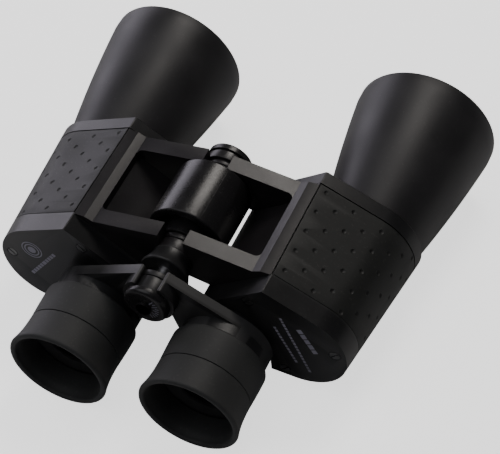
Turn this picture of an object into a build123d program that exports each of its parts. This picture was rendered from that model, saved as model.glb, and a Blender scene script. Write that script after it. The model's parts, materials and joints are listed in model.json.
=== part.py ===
from build123d import *
import os
from math import hypot, sqrt

# Porro-prism binoculars, 7x50 class.
# Frame: +X to the user's right, +Y towards the objectives, +Z up, millimetres.
# The origin is under the middle of the folded instrument, level with the bottom of the objective rims.
# Heights are measured from the objective axis, which stands one rim radius above the origin.
# Right-hand pieces are modelled and mirrored wherever the two sides are alike.

# ---- optical axes and hinge --------------------------------------------------------------------
overall_length = 176.4
rim_radius = 31.5
objective_x = 60.74
objective_z = rim_radius
eyepiece_x = 28.63
eyepiece_z = objective_z + 2.64
hinge_z = objective_z + 25.3
front_y = overall_length / 2
rear_y = -overall_length / 2

# ---- fits ------------------------------------------------------------------------------------
running_fit = 0.05
guide_fit = 0.06
guide_clearance = 0.1
part_gap = 0.3
lens_gap = 0.04

# ---- prism housing -----------------------------------------------------------------------------
housing_rear_y = -45.0
grip_rear_y = -35.4
grip_front_y = 13.4
cover_front_y = 20.5
rear_cover_thickness = 3.5
wall = 2.8
ledge_width = 1.5
grip_thickness = 1.2
crease_x = 43.2
crease_z = objective_z + 35.2
crease_radius = 0.6
eyepiece_end_radius = 17.5
rear_end_x = 55.5
rear_end_z = objective_z + 5
rear_end_radius = 21.7
front_end_x = 60.0
front_end_z = objective_z + 1
front_end_radius = 24.2
front_cover_wall = 3.0
cover_edge = 0.9

# ---- hinge frame ---------------------------------------------------------------------------------
rear_arm_rear_y = -36.1
rear_arm_front_y = -28.8
front_arm_rear_y = 5.3
front_arm_front_y = 12.5
rail_x = 34.95
rail_z = objective_z + 33.34
rail_bevel_x = 37.5
rail_bevel_z = objective_z + 34.8
arm_end_x = 5.6
arm_end_z = objective_z + 37.5
opening_corner_radius = 2.6
knuckle_radius = 8.0
front_ring_width = 2.3
hinge_tube_radius = 5.5
spindle_radius = 3.2

# ---- focusing ------------------------------------------------------------------------------------
wheel_rear_y = -24.6
wheel_front_y = 3.9
wheel_radius = 16.4
wheel_edge_radius = 1.2
wheel_hub_radius = 9.0
wheel_dish_radius = 13.2
wheel_dish_depth = 2.2
wheel_bearing_length = 4.0
nut_radius = 7.2
spindle_front_y = 6.0

# ---- hinge ends ----------------------------------------------------------------------------------
front_cap_y = 20.0
front_cap_radius = 9.8
front_cap_groove_y = 16.7
front_cap_groove_depth = 0.6
front_cap_groove_width = 0.9
front_cap_chamfer = 0.6
socket_radius = 2.6
socket_depth = 6.4
collar_front_radius = 8.4
collar_rear_radius = 10.4
collar_rear_y = -44.5
collar_edge_radius = 0.9

# ---- ocular bridge ---------------------------------------------------------------------------------
bridge_front_y = -48.9
bridge_rear_y = -58.1
bridge_end_x = 4.67
bridge_end_z = objective_z + 34.5
bridge_ring_radius = 18.5
bridge_rim = 3.0
bridge_scoop_depth = 4.0
bridge_front_ring_width = 2.5
bridge_hole_radius = 1.1
bridge_hole_x = 14.4
bridge_hole_z = objective_z + 21.5
spindle_head_radius = 5.0
cap_length = 7.6
cap_radius = 9.5
cap_edge_radius = 2.8
cap_stud_radius = 3.0
cap_stud_length = 4.5

# ---- eyepieces ---------------------------------------------------------------------------------------
eyepiece_tube_radius = 14.0
eyepiece_tube_wall = 1.8
eyepiece_head_step = 2.0
eyepiece_flange_step = 1.4
eyepiece_tube_front_y = -30.0
eyepiece_bore_radius = eyepiece_tube_radius - eyepiece_tube_wall
eyepiece_head_radius = eyepiece_tube_radius + eyepiece_head_step
eyepiece_flange_radius = eyepiece_head_radius + eyepiece_flange_step
eyecup_front_y = -73.5
eyecup_radius = 20.3
eyecup_rim_radius = 21.3
eyecup_opening_radius = 18.8
eyecup_seat_length = 2.4
eyecup_flare_y = -81.0
ring_edge_radius = 1.2
eye_lens_rear_y = -72.6
eye_lens_edge = 3.0
eye_lens_sag = 2.0
eye_lens_lip = 1.8
eye_lens_clear_radius = eyepiece_bore_radius - eye_lens_lip
eye_lens_seat_gap = 0.2
field_lens_front_y = -34.0
field_lens_edge = 2.4
field_lens_sag = 1.8
field_stop_y = -50.0
field_stop_thickness = 1.5
field_stop_lip = 3.2
field_stop_radius = eyepiece_bore_radius - field_stop_lip
eyepiece_retainer_length = 1.8

# ---- objectives -----------------------------------------------------------------------------------------
barrel_root_radius = 21.5
barrel_wall = 1.7
barrel_belly = 3.5
spigot_radius = 19.0
spigot_rear_y = 15.0
rim_land = 5.0
rim_wall = 2.0
cell_front_y = 81.0
cell_rear_y = 66.0
cell_radius = 27.4
cell_wall = 1.5
cell_lip = 1.5
objective_clear_radius = 25.0
crown_edge = 1.6
flint_edge = 5.4
cement_sag = 3.0
objective_sag = 3.0
retainer_length = 3.4

# ---- prisms ------------------------------------------------------------------------------------------------
shelf_front_y = -8.5
shelf_thickness = 2.0
prism_half_length = 20.0
prism_half_width = 8.8
prism_apex_flat = 2.0
clip_thickness = 0.8
clip_half_width = 3.0
shelf_clearance = 0.3
shelf_hole_radius = 8.2

# ---- cover screws ----------------------------------------------------------------------------------------
screw_head_radius = 2.2
screw_head_depth = 1.8
screw_shank_radius = 1.0
screw_length = 9.0
screw_slot_width = 0.5
screw_slot_depth = 0.6
boss_radius = 2.6
boss_length = 8.0
outer_screw_x = 72.1
outer_screw_z = objective_z + 7.7
top_screw_x = 36.5
top_screw_z = objective_z + 26
bottom_screw_x = 50.0
bottom_screw_z = objective_z - 12.5

# ---- derived -------------------------------------------------------------------------------------------------
far = overall_length
rear_cover_front_y = housing_rear_y + rear_cover_thickness
screw_places = [
    (outer_screw_x, outer_screw_z),
    (top_screw_x, top_screw_z),
    (bottom_screw_x, bottom_screw_z),
]
tube_bore_radius = spindle_radius + running_fit
ring_relief_radius = knuckle_radius + part_gap
collar_front_y = rear_arm_rear_y - part_gap
lens_radius = cell_radius - cell_wall - lens_gap
eye_lens_radius = eyepiece_bore_radius - lens_gap
bridge_split_y = bridge_front_y - bridge_front_ring_width

os.makedirs("parts", exist_ok=True)


def cross_plane(y):
    """Plane across the instrument at y, with sketch coordinates (x, z)."""
    return Plane.XZ.offset(-y)


def shell_outline(y, grow):
    """Return the housing's cross-section at y, offset outwards by grow."""
    along = (y - housing_rear_y) / (cover_front_y - housing_rear_y)
    end_x = rear_end_x + along * (front_end_x - rear_end_x)
    end_z = rear_end_z + along * (front_end_z - rear_end_z)
    end_radius = rear_end_radius + along * (front_end_radius - rear_end_radius)
    apex_ratio = 1.17
    apex_drop = apex_ratio * (crease_radius - grow)
    with BuildSketch(cross_plane(y)) as section:
        with Locations((eyepiece_x, eyepiece_z)):
            Circle(eyepiece_end_radius + grow)
        with Locations((end_x, end_z)):
            Circle(end_radius + grow)
        with Locations((crease_x, crease_z - apex_drop)):
            Circle(crease_radius)
        make_hull()
    return section.sketch


def shell_loft(y_rear, y_front, grow, mode=Mode.ADD, front_grow=None):
    """Loft the housing's cross-section from y_rear to y_front inside the open part."""
    rear_section = shell_outline(y_rear, grow)
    front_section = shell_outline(y_front, grow if front_grow is None else front_grow)
    loft([rear_section.face(), front_section.face()], ruled=True, mode=mode)


def rod(x, z, radius, y_rear, y_front, mode=Mode.ADD):
    """Cylinder along Y, centred on (x, z), from y_rear to y_front."""
    with BuildSketch(cross_plane(y_front)) as section:
        with Locations((x, z)):
            Circle(radius)
    extrude(section.sketch, amount=y_front - y_rear, mode=mode)


def revolve_about(x, z, points):
    """Revolve a closed polygon of (radius, y) points about the line along Y through (x, z)."""
    axis_plane = Plane(origin=(x, 0, z), x_dir=(1, 0, 0), z_dir=(0, 0, 1))
    with BuildSketch(axis_plane) as section:
        with BuildLine():
            Polyline(*points, close=True)
        make_face()
    revolve(section.sketch, axis=Axis((x, 0, z), (0, 1, 0)))


def write_pair(right_part, name):
    """Write a right-hand piece, and its mirror image as the left-hand piece."""
    right_part.label = f"{name}_right"
    export_step(right_part, f"parts/{name}_right.step")
    with BuildPart() as left:
        mirror(right_part, about=Plane.YZ)
    left.part.label = f"{name}_left"
    export_step(left.part, f"parts/{name}_left.step")


# ---- grip: a rubber skin round the outside of the housing, from the crease down to the belly --------
with BuildPart() as grip:
    shell_loft(grip_rear_y, grip_front_y, 0)
    shell_loft(grip_rear_y, grip_front_y, -grip_thickness, mode=Mode.SUBTRACT)
    split(bisect_by=Plane.YZ.offset(crease_x), keep=Keep.TOP)
write_pair(grip.part, "grip")


def build_housing(has_front_ring):
    """Build a right-hand housing with its hinge frame; the two sides differ in their hinge rings."""
    with BuildPart() as housing:
        # Frame plate: two arms and the rail that joins them beside the crease.
        with BuildSketch(cross_plane(front_arm_front_y)):
            with BuildLine():
                Polyline(
                    (arm_end_x, arm_end_z),
                    (rail_x, rail_z),
                    (rail_bevel_x, rail_bevel_z),
                    (crease_x, crease_z),
                    (crease_x, crease_z - wall),
                    (rail_x, rail_z - 2 * wall),
                    (eyepiece_x - eyepiece_end_radius / 2, eyepiece_z + eyepiece_end_radius / 2),
                    (arm_end_x, hinge_z - knuckle_radius),
                    close=True,
                )
            make_face()
        extrude(amount=front_arm_front_y - rear_arm_rear_y)
        opening_length = front_arm_rear_y - rear_arm_front_y
        opening_middle = (front_arm_rear_y + rear_arm_front_y) / 2
        with BuildSketch(Plane.XY):
            with Locations((0, opening_middle)):
                RectangleRounded(2 * rail_x, opening_length, opening_corner_radius)
        extrude(amount=far, mode=Mode.SUBTRACT)
        # Prism shell with the grip's recess.
        shell_loft(rear_cover_front_y, grip_front_y, 0)
        add(grip.part, mode=Mode.SUBTRACT)
        shell_loft(rear_cover_front_y, shelf_front_y, -wall, mode=Mode.SUBTRACT)
        shell_loft(shelf_front_y, grip_front_y, -wall - ledge_width, mode=Mode.SUBTRACT)
        for screw_x, screw_z in screw_places:
            boss_front_y = rear_cover_front_y + boss_length
            rod(screw_x, screw_z, boss_radius, rear_cover_front_y, boss_front_y)
            rod(screw_x, screw_z, screw_shank_radius, rear_cover_front_y, boss_front_y, Mode.SUBTRACT)
        # Hinge rings, with room for the other side's rings.
        for arm_rear_y, arm_front_y in (
            (rear_arm_rear_y, rear_arm_front_y),
            (front_arm_rear_y, front_arm_front_y),
        ):
            split_y = arm_front_y - front_ring_width
            if has_front_ring:
                ring = (split_y, arm_front_y)
                relief = (arm_rear_y, split_y)
                bore = hinge_tube_radius
            else:
                ring = (arm_rear_y, split_y - part_gap)
                relief = (split_y - part_gap, arm_front_y)
                bore = hinge_tube_radius + running_fit
            rod(0, hinge_z, ring_relief_radius, *relief, Mode.SUBTRACT)
            rod(0, hinge_z, knuckle_radius, *ring)
            rod(0, hinge_z, bore, arm_rear_y, arm_front_y, Mode.SUBTRACT)
    return housing.part


housing_right = build_housing(has_front_ring=False)
housing_right.label = "housing_right"
export_step(housing_right, "parts/housing_right.step")

with BuildPart() as housing_left:
    mirror(build_housing(has_front_ring=True), about=Plane.YZ)
housing_left.part.label = "housing_left"
export_step(housing_left.part, "parts/housing_left.step")

# ---- front cover: closes the housing in front and holds the objective barrel -------------------------
with BuildPart() as front_cover:
    bevel_rear_y = cover_front_y - cover_edge
    shell_loft(grip_front_y, bevel_rear_y, 0)
    shell_loft(bevel_rear_y, cover_front_y, 0, front_grow=-cover_edge)
    inner_front_y = cover_front_y - front_cover_wall
    shell_loft(grip_front_y, inner_front_y, -wall - ledge_width, mode=Mode.SUBTRACT)
    rod(objective_x, objective_z, spigot_radius, grip_front_y, cover_front_y, Mode.SUBTRACT)
write_pair(front_cover.part, "front_cover")

# ---- rear cover: closes the housing behind and guides the eyepiece tube ----------------------------------
with BuildPart() as rear_cover:
    bevel_front_y = housing_rear_y + cover_edge
    shell_loft(housing_rear_y, bevel_front_y, -cover_edge, front_grow=0)
    shell_loft(bevel_front_y, rear_cover_front_y, 0)
    guide_radius = eyepiece_end_radius - wall - guide_clearance
    rod(eyepiece_x, eyepiece_z, guide_radius, rear_cover_front_y, rear_cover_front_y + boss_length)
    guide_bore = eyepiece_tube_radius + guide_fit
    rod(eyepiece_x, eyepiece_z, guide_bore, housing_rear_y, rear_cover_front_y + boss_length, Mode.SUBTRACT)
    for screw_x, screw_z in screw_places:
        head_seat_y = housing_rear_y + screw_head_depth
        rod(screw_x, screw_z, screw_head_radius, housing_rear_y, head_seat_y, Mode.SUBTRACT)
        rod(screw_x, screw_z, screw_shank_radius, housing_rear_y, rear_cover_front_y, Mode.SUBTRACT)
write_pair(rear_cover.part, "rear_cover")

# ---- cover screws: slotted, sunk flush in the rear cover -------------------------------------------------
with BuildPart() as cover_screws:
    for screw_x, screw_z in screw_places:
        head_seat_y = housing_rear_y + screw_head_depth
        rod(screw_x, screw_z, screw_head_radius, housing_rear_y, head_seat_y)
        rod(screw_x, screw_z, screw_shank_radius, head_seat_y, housing_rear_y + screw_length)
        with BuildSketch(cross_plane(housing_rear_y + screw_slot_depth)):
            with Locations((screw_x, screw_z)):
                Rectangle(3 * screw_head_radius, screw_slot_width, rotation=45)
        extrude(amount=screw_slot_depth, mode=Mode.SUBTRACT)
write_pair(cover_screws.part, "cover_screws")

# ---- objective barrel: a flared tube that ends in a straight rim ------------------------------------------
with BuildPart() as objective_barrel:
    land_y = front_y - rim_land
    cell_seat_y = cell_rear_y - cell_lip
    with BuildSketch(Plane(origin=(objective_x, 0, objective_z), x_dir=(1, 0, 0), z_dir=(0, 0, 1))):
        with BuildLine():
            flare = Bezier(
                (barrel_root_radius, cover_front_y),
                (rim_radius - barrel_belly, cover_front_y + (land_y - cover_front_y) / 2),
                (rim_radius, land_y),
            )
            Line(flare @ 1, (rim_radius, front_y))
            Line((rim_radius, front_y), (rim_radius - rim_wall, front_y))
            Line((rim_radius - rim_wall, front_y), (cell_radius, cell_front_y))
            Line((cell_radius, cell_front_y), (cell_radius, cell_seat_y))
            Line((cell_radius, cell_seat_y), (cell_radius - cell_wall, cell_seat_y))
            Line(
                (cell_radius - cell_wall, cell_seat_y),
                (spigot_radius - barrel_wall, cover_front_y),
            )
            Line(
                (spigot_radius - barrel_wall, cover_front_y),
                (spigot_radius - barrel_wall, spigot_rear_y),
            )
            Line((spigot_radius - barrel_wall, spigot_rear_y), (spigot_radius, spigot_rear_y))
            Line((spigot_radius, spigot_rear_y), (spigot_radius, cover_front_y))
            Line((spigot_radius, cover_front_y), flare @ 0)
        make_face()
    revolve(axis=Axis((objective_x, 0, objective_z), (0, 1, 0)))
write_pair(objective_barrel.part, "objective_barrel")

# ---- objective cell, cemented lens pair and its retaining ring ----------------------------------------------
lens_seat_y = cell_rear_y
cement_edge_y = lens_seat_y + flint_edge
crown_front_y = cement_edge_y + crown_edge
with BuildPart() as objective_cell:
    revolve_about(
        objective_x,
        objective_z,
        [
            (cell_radius, cell_front_y),
            (cell_radius - cell_wall, cell_front_y),
            (cell_radius - cell_wall, cell_rear_y),
            (objective_clear_radius, cell_rear_y),
            (objective_clear_radius, cell_rear_y - cell_lip),
            (cell_radius, cell_rear_y - cell_lip),
        ],
    )
write_pair(objective_cell.part, "objective_cell")

with BuildPart() as objective_flint:
    with BuildSketch(Plane(origin=(objective_x, 0, objective_z), x_dir=(1, 0, 0), z_dir=(0, 0, 1))):
        with BuildLine():
            Line((0, lens_seat_y), (lens_radius, lens_seat_y))
            Line((lens_radius, lens_seat_y), (lens_radius, cement_edge_y))
            cement = RadiusArc(
                (lens_radius, cement_edge_y),
                (0, cement_edge_y - cement_sag),
                (lens_radius**2 + cement_sag**2) / (2 * cement_sag),
            )
            Line(cement @ 1, (0, lens_seat_y))
        make_face()
    revolve(axis=Axis((objective_x, 0, objective_z), (0, 1, 0)))
write_pair(objective_flint.part, "objective_flint")

with BuildPart() as objective_crown:
    with BuildSketch(Plane(origin=(objective_x, 0, objective_z), x_dir=(1, 0, 0), z_dir=(0, 0, 1))):
        with BuildLine():
            RadiusArc(
                (lens_radius, cement_edge_y),
                (0, cement_edge_y - cement_sag),
                (lens_radius**2 + cement_sag**2) / (2 * cement_sag),
            )
            Line((0, cement_edge_y - cement_sag), (0, crown_front_y + objective_sag))
            RadiusArc(
                (0, crown_front_y + objective_sag),
                (lens_radius, crown_front_y),
                (lens_radius**2 + objective_sag**2) / (2 * objective_sag),
            )
            Line((lens_radius, crown_front_y), (lens_radius, cement_edge_y))
        make_face()
    revolve(axis=Axis((objective_x, 0, objective_z), (0, 1, 0)))
write_pair(objective_crown.part, "objective_crown")

with BuildPart() as objective_retainer:
    revolve_about(
        objective_x,
        objective_z,
        [
            (cell_radius - cell_wall, crown_front_y + part_gap),
            (cell_radius - cell_wall, crown_front_y + retainer_length),
            (objective_clear_radius, crown_front_y + retainer_length),
            (objective_clear_radius, crown_front_y + part_gap),
        ],
    )
write_pair(objective_retainer.part, "objective_retainer")

# ---- prisms: a Porro pair either side of a shelf, turned at 45 degrees to the line between the axes ---------
axis_run_x = eyepiece_x - objective_x
axis_run_z = eyepiece_z - objective_z
link_x = objective_x + axis_run_x / 2 + axis_run_z / 2
link_z = objective_z + axis_run_z / 2 - axis_run_x / 2
shelf_rear_y = shelf_front_y - shelf_thickness


def prism_plane(from_x, from_z, to_x, to_z, base_y):
    """Plane through both beams of a prism: local x runs between the beams, local y is +Y."""
    run = hypot(to_x - from_x, to_z - from_z)
    run_x = (to_x - from_x) / run
    run_z = (to_z - from_z) / run
    middle = ((from_x + to_x) / 2, base_y, (from_z + to_z) / 2)
    return Plane(origin=middle, x_dir=(run_x, 0, run_z), z_dir=(-run_z, 0, run_x))


def roof_outline(half_length, apex_flat, direction):
    """Sketch a right-angled prism's side: base on local y = 0, apex towards direction."""
    depth = direction * (half_length - apex_flat)
    Polygon(
        (-half_length, 0),
        (half_length, 0),
        (apex_flat, depth),
        (-apex_flat, depth),
        align=None,
    )


def build_prism(plane, direction):
    """Glass prism whose ends are ground round."""
    with BuildPart() as prism:
        with BuildSketch(plane):
            roof_outline(prism_half_length, prism_apex_flat, direction)
        extrude(amount=prism_half_width, both=True)
        rod(plane.origin.X, plane.origin.Z, prism_half_length, -far, far, Mode.INTERSECT)
    return prism.part


def build_clip(plane, direction):
    """Spring strap over a prism's apex, with its feet on the shelf."""
    reach = clip_thickness * sqrt(2)
    with BuildPart() as clip:
        with BuildSketch(plane):
            roof_outline(
                prism_half_length + reach,
                prism_apex_flat + reach - clip_thickness,
                direction,
            )
        extrude(amount=clip_half_width, both=True)
        with BuildSketch(plane):
            roof_outline(prism_half_length, prism_apex_flat, direction)
        extrude(amount=clip_half_width, both=True, mode=Mode.SUBTRACT)
    return clip.part


rear_prism_plane = prism_plane(objective_x, objective_z, link_x, link_z, shelf_rear_y)
front_prism_plane = prism_plane(link_x, link_z, eyepiece_x, eyepiece_z, shelf_front_y)
toward_rear = -1 if rear_prism_plane.y_dir.Y > 0 else 1
toward_front = 1 if front_prism_plane.y_dir.Y > 0 else -1

rear_prism = build_prism(rear_prism_plane, toward_rear)
write_pair(rear_prism, "rear_prism")
front_prism = build_prism(front_prism_plane, toward_front)
write_pair(front_prism, "front_prism")
rear_clip = build_clip(rear_prism_plane, toward_rear)
write_pair(rear_clip, "rear_prism_clip")
front_clip = build_clip(front_prism_plane, toward_front)
write_pair(front_clip, "front_prism_clip")

with BuildPart() as prism_shelf:
    extrude(shell_outline(shelf_front_y, -wall - shelf_clearance), amount=shelf_thickness)
    for beam_x, beam_z in ((objective_x, objective_z), (link_x, link_z), (eyepiece_x, eyepiece_z)):
        rod(beam_x, beam_z, shelf_hole_radius, shelf_rear_y, shelf_front_y, Mode.SUBTRACT)
write_pair(prism_shelf.part, "prism_shelf")

# ---- hinge tubes: fixed in the left rings, with the right rings turning on them ------------------------------
with BuildPart() as hinge_tube_front:
    tube_rear_y = wheel_front_y - wheel_bearing_length + part_gap
    rod(0, hinge_z, hinge_tube_radius, tube_rear_y, front_arm_front_y)
    rod(0, hinge_z, tube_bore_radius, tube_rear_y, front_arm_front_y, Mode.SUBTRACT)
hinge_tube_front.part.label = "hinge_tube_front"
export_step(hinge_tube_front.part, "parts/hinge_tube_front.step")

with BuildPart() as hinge_tube_rear:
    tube_front_y = wheel_rear_y + wheel_bearing_length - part_gap
    rod(0, hinge_z, hinge_tube_radius, collar_rear_y, tube_front_y)
    rod(0, hinge_z, tube_bore_radius, collar_rear_y, tube_front_y, Mode.SUBTRACT)
hinge_tube_rear.part.label = "hinge_tube_rear"
export_step(hinge_tube_rear.part, "parts/hinge_tube_rear.step")

# ---- front cap with the tripod socket -----------------------------------------------------------------------------
with BuildPart() as hinge_front_cap:
    rod(0, hinge_z, front_cap_radius, front_arm_front_y, front_cap_y)
    chamfer(hinge_front_cap.faces().sort_by(Axis.Y)[-1].edges(), front_cap_chamfer)
    groove_rear_y = front_cap_groove_y - front_cap_groove_width / 2
    groove_front_y = front_cap_groove_y + front_cap_groove_width / 2
    with BuildSketch(cross_plane(groove_front_y)):
        with Locations((0, hinge_z)):
            Circle(front_cap_radius + 1)
            Circle(front_cap_radius - front_cap_groove_depth, mode=Mode.SUBTRACT)
    extrude(amount=groove_front_y - groove_rear_y, mode=Mode.SUBTRACT)
    rod(0, hinge_z, hinge_tube_radius, front_arm_front_y, front_cap_y, Mode.SUBTRACT)
hinge_front_cap.part.label = "hinge_front_cap"
export_step(hinge_front_cap.part, "parts/hinge_front_cap.step")

with BuildPart() as tripod_socket:
    rod(0, hinge_z, hinge_tube_radius, front_arm_front_y, front_cap_y)
    rod(0, hinge_z, socket_radius, front_cap_y - socket_depth, front_cap_y, Mode.SUBTRACT)
tripod_socket.part.label = "tripod_socket"
export_step(tripod_socket.part, "parts/tripod_socket.step")

# ---- rear collar: tapered, round the rear hinge tube -----------------------------------------------------------
with BuildPart() as hinge_rear_collar:
    revolve_about(
        0,
        hinge_z,
        [
            (hinge_tube_radius, collar_front_y),
            (collar_front_radius, collar_front_y),
            (collar_rear_radius, collar_rear_y + 2 * collar_edge_radius),
            (collar_rear_radius - collar_edge_radius, collar_rear_y),
            (hinge_tube_radius, collar_rear_y),
        ],
    )
hinge_rear_collar.part.label = "hinge_rear_collar"
export_step(hinge_rear_collar.part, "parts/hinge_rear_collar.step")

# ---- focusing wheel and its nut ---------------------------------------------------------------------------------
nut_front_y = wheel_front_y - wheel_bearing_length
nut_shoulder_y = wheel_rear_y + wheel_bearing_length
bearing_bore = hinge_tube_radius + running_fit
with BuildPart() as focus_wheel:
    rod(0, hinge_z, wheel_radius, wheel_rear_y, wheel_front_y)
    fillet(focus_wheel.edges().filter_by(GeomType.CIRCLE), wheel_edge_radius)
    for face_y, dish_y in (
        (wheel_rear_y, wheel_rear_y + wheel_dish_depth),
        (wheel_front_y - wheel_dish_depth, wheel_front_y),
    ):
        rod(0, hinge_z, wheel_dish_radius, face_y, dish_y, Mode.SUBTRACT)
    hub_rear_y = rear_arm_front_y + part_gap
    hub_front_y = front_arm_rear_y - part_gap
    rod(0, hinge_z, wheel_hub_radius, hub_rear_y, hub_front_y)
    rod(0, hinge_z, nut_radius, hub_rear_y, nut_front_y, Mode.SUBTRACT)
    rod(0, hinge_z, bearing_bore, nut_front_y, hub_front_y, Mode.SUBTRACT)
focus_wheel.part.label = "focus_wheel"
export_step(focus_wheel.part, "parts/focus_wheel.step")

with BuildPart() as focus_nut:
    rod(0, hinge_z, nut_radius, hub_rear_y, nut_front_y)
    rod(0, hinge_z, bearing_bore, hub_rear_y, nut_shoulder_y, Mode.SUBTRACT)
    rod(0, hinge_z, tube_bore_radius, nut_shoulder_y, nut_front_y, Mode.SUBTRACT)
focus_nut.part.label = "focus_nut"
export_step(focus_nut.part, "parts/focus_nut.step")

# ---- focusing spindle: carries the ocular bridge and the scale cap ---------------------------------------------
cap_front_y = bridge_rear_y - part_gap
with BuildPart() as focus_spindle:
    rod(0, hinge_z, spindle_radius, bridge_front_y, spindle_front_y)
    rod(0, hinge_z, spindle_head_radius, cap_front_y, bridge_front_y)
    rod(0, hinge_z, cap_stud_radius, cap_front_y - cap_stud_length, cap_front_y)
focus_spindle.part.label = "focus_spindle"
export_step(focus_spindle.part, "parts/focus_spindle.step")

with BuildPart() as ipd_scale_cap:
    rod(0, hinge_z, cap_radius, cap_front_y - cap_length, cap_front_y)
    fillet(ipd_scale_cap.faces().sort_by(Axis.Y)[0].edges(), cap_edge_radius)
    rod(0, hinge_z, cap_stud_radius, cap_front_y - cap_stud_length, cap_front_y, Mode.SUBTRACT)
ipd_scale_cap.part.label = "ipd_scale_cap"
export_step(ipd_scale_cap.part, "parts/ipd_scale_cap.step")


def arm_outline(inset):
    """Sketch the ocular arm's outline, from the hinge end to the ring round the eyepiece."""
    tip_radius = 1.0
    foot_radius = 5.0
    with Locations((eyepiece_x, eyepiece_z)):
        Circle(bridge_ring_radius - inset)
    with Locations((bridge_end_x + tip_radius + inset, bridge_end_z - tip_radius - inset)):
        Circle(tip_radius)
    with Locations((bridge_end_x + foot_radius, hinge_z - foot_radius)):
        Circle(foot_radius - inset)
    make_hull()


def build_ocular_arm(has_front_ring):
    """Build a right-hand ocular arm; the two sides differ in their rings on the spindle."""
    with BuildPart() as arm:
        with BuildSketch(cross_plane(bridge_front_y)):
            arm_outline(0)
        extrude(amount=bridge_front_y - bridge_rear_y)
        with BuildSketch(cross_plane(bridge_rear_y + bridge_scoop_depth)):
            arm_outline(bridge_rim)
            with Locations((eyepiece_x, eyepiece_z)):
                Circle(bridge_ring_radius, mode=Mode.SUBTRACT)
            with Locations((0, hinge_z)):
                Circle(knuckle_radius + bridge_rim, mode=Mode.SUBTRACT)
        extrude(amount=bridge_scoop_depth, mode=Mode.SUBTRACT)
        rod(bridge_hole_x, bridge_hole_z, bridge_hole_radius, bridge_rear_y, bridge_front_y, Mode.SUBTRACT)
        if has_front_ring:
            ring = (bridge_split_y, bridge_front_y)
            relief = (bridge_rear_y, bridge_split_y)
            tube_bore = eyepiece_tube_radius
            spindle_bore = spindle_head_radius
        else:
            ring = (bridge_rear_y, bridge_split_y - part_gap)
            relief = (bridge_split_y - part_gap, bridge_front_y)
            tube_bore = eyepiece_tube_radius + running_fit
            spindle_bore = spindle_head_radius + running_fit
        rod(0, hinge_z, ring_relief_radius, *relief, Mode.SUBTRACT)
        rod(0, hinge_z, knuckle_radius, *ring)
        rod(0, hinge_z, spindle_bore, bridge_rear_y, bridge_front_y, Mode.SUBTRACT)
        rod(eyepiece_x, eyepiece_z, tube_bore, bridge_rear_y, bridge_front_y, Mode.SUBTRACT)
    return arm.part


ocular_arm_right = build_ocular_arm(has_front_ring=False)
ocular_arm_right.label = "ocular_arm_right"
export_step(ocular_arm_right, "parts/ocular_arm_right.step")

with BuildPart() as ocular_arm_left:
    mirror(build_ocular_arm(has_front_ring=True), about=Plane.YZ)
ocular_arm_left.part.label = "ocular_arm_left"
export_step(ocular_arm_left.part, "parts/ocular_arm_left.step")


def build_eyepiece_ring(ring_front_y, bore):
    """Rubber-sleeved ring between the ocular arm and the eyecup, on the right-hand eyepiece axis."""
    ring_rear_y = eyecup_front_y + part_gap
    with BuildPart() as ring:
        rod(eyepiece_x, eyepiece_z, eyecup_radius, ring_rear_y, ring_front_y)
        fillet(ring.faces().sort_by(Axis.Y)[-1].edges(), ring_edge_radius)
        rod(eyepiece_x, eyepiece_z, bore, ring_rear_y, ring_front_y, Mode.SUBTRACT)
    return ring.part


diopter_ring = build_eyepiece_ring(bridge_rear_y - part_gap, eyepiece_head_radius + running_fit)
diopter_ring.label = "diopter_ring"
export_step(diopter_ring, "parts/diopter_ring.step")

with BuildPart() as eyepiece_collar:
    mirror(build_eyepiece_ring(bridge_rear_y, eyepiece_head_radius), about=Plane.YZ)
eyepiece_collar.part.label = "eyepiece_collar"
export_step(eyepiece_collar.part, "parts/eyepiece_collar.step")

# ---- eyepiece tube: slides in the rear cover, carries the lenses and the eyecup -------------------------------
head_front_y = bridge_rear_y - part_gap
flange_rear_y = eyecup_front_y - eyecup_seat_length
with BuildPart() as eyepiece_tube:
    revolve_about(
        eyepiece_x,
        eyepiece_z,
        [
            (eyepiece_tube_radius, eyepiece_tube_front_y),
            (eyepiece_tube_radius, head_front_y),
            (eyepiece_head_radius, head_front_y),
            (eyepiece_head_radius, eyecup_front_y),
            (eyepiece_flange_radius, eyecup_front_y),
            (eyepiece_flange_radius, flange_rear_y),
            (eyepiece_head_radius - running_fit, flange_rear_y),
            (eyepiece_bore_radius, eye_lens_rear_y - eyepiece_retainer_length),
            (eyepiece_bore_radius, eyepiece_tube_front_y),
        ],
    )
write_pair(eyepiece_tube.part, "eyepiece_tube")

# ---- eyecup: rubber, straight and then flared to a rolled rim ------------------------------------------------------
with BuildPart() as eyecup:
    with BuildSketch(Plane(origin=(eyepiece_x, 0, eyepiece_z), x_dir=(1, 0, 0), z_dir=(0, 0, 1))):
        with BuildLine():
            lip = (eyecup_rim_radius - eyecup_opening_radius) / 2
            Line((eyepiece_flange_radius, eyecup_front_y), (eyecup_radius, eyecup_front_y))
            Line((eyecup_radius, eyecup_front_y), (eyecup_radius, eyecup_flare_y))
            flare = Bezier(
                (eyecup_radius, eyecup_flare_y),
                (eyecup_radius, (eyecup_flare_y + rear_y + lip) / 2),
                (eyecup_rim_radius, rear_y + lip),
            )
            ThreePointArc(
                flare @ 1,
                (eyecup_rim_radius - lip, rear_y),
                (eyecup_opening_radius, rear_y + lip),
            )
            Line((eyecup_opening_radius, rear_y + lip), (eyepiece_flange_radius, flange_rear_y))
            Line((eyepiece_flange_radius, flange_rear_y), (eyepiece_flange_radius, eyecup_front_y))
        make_face()
    revolve(axis=Axis((eyepiece_x, 0, eyepiece_z), (0, 1, 0)))
write_pair(eyecup.part, "eyecup")


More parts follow.
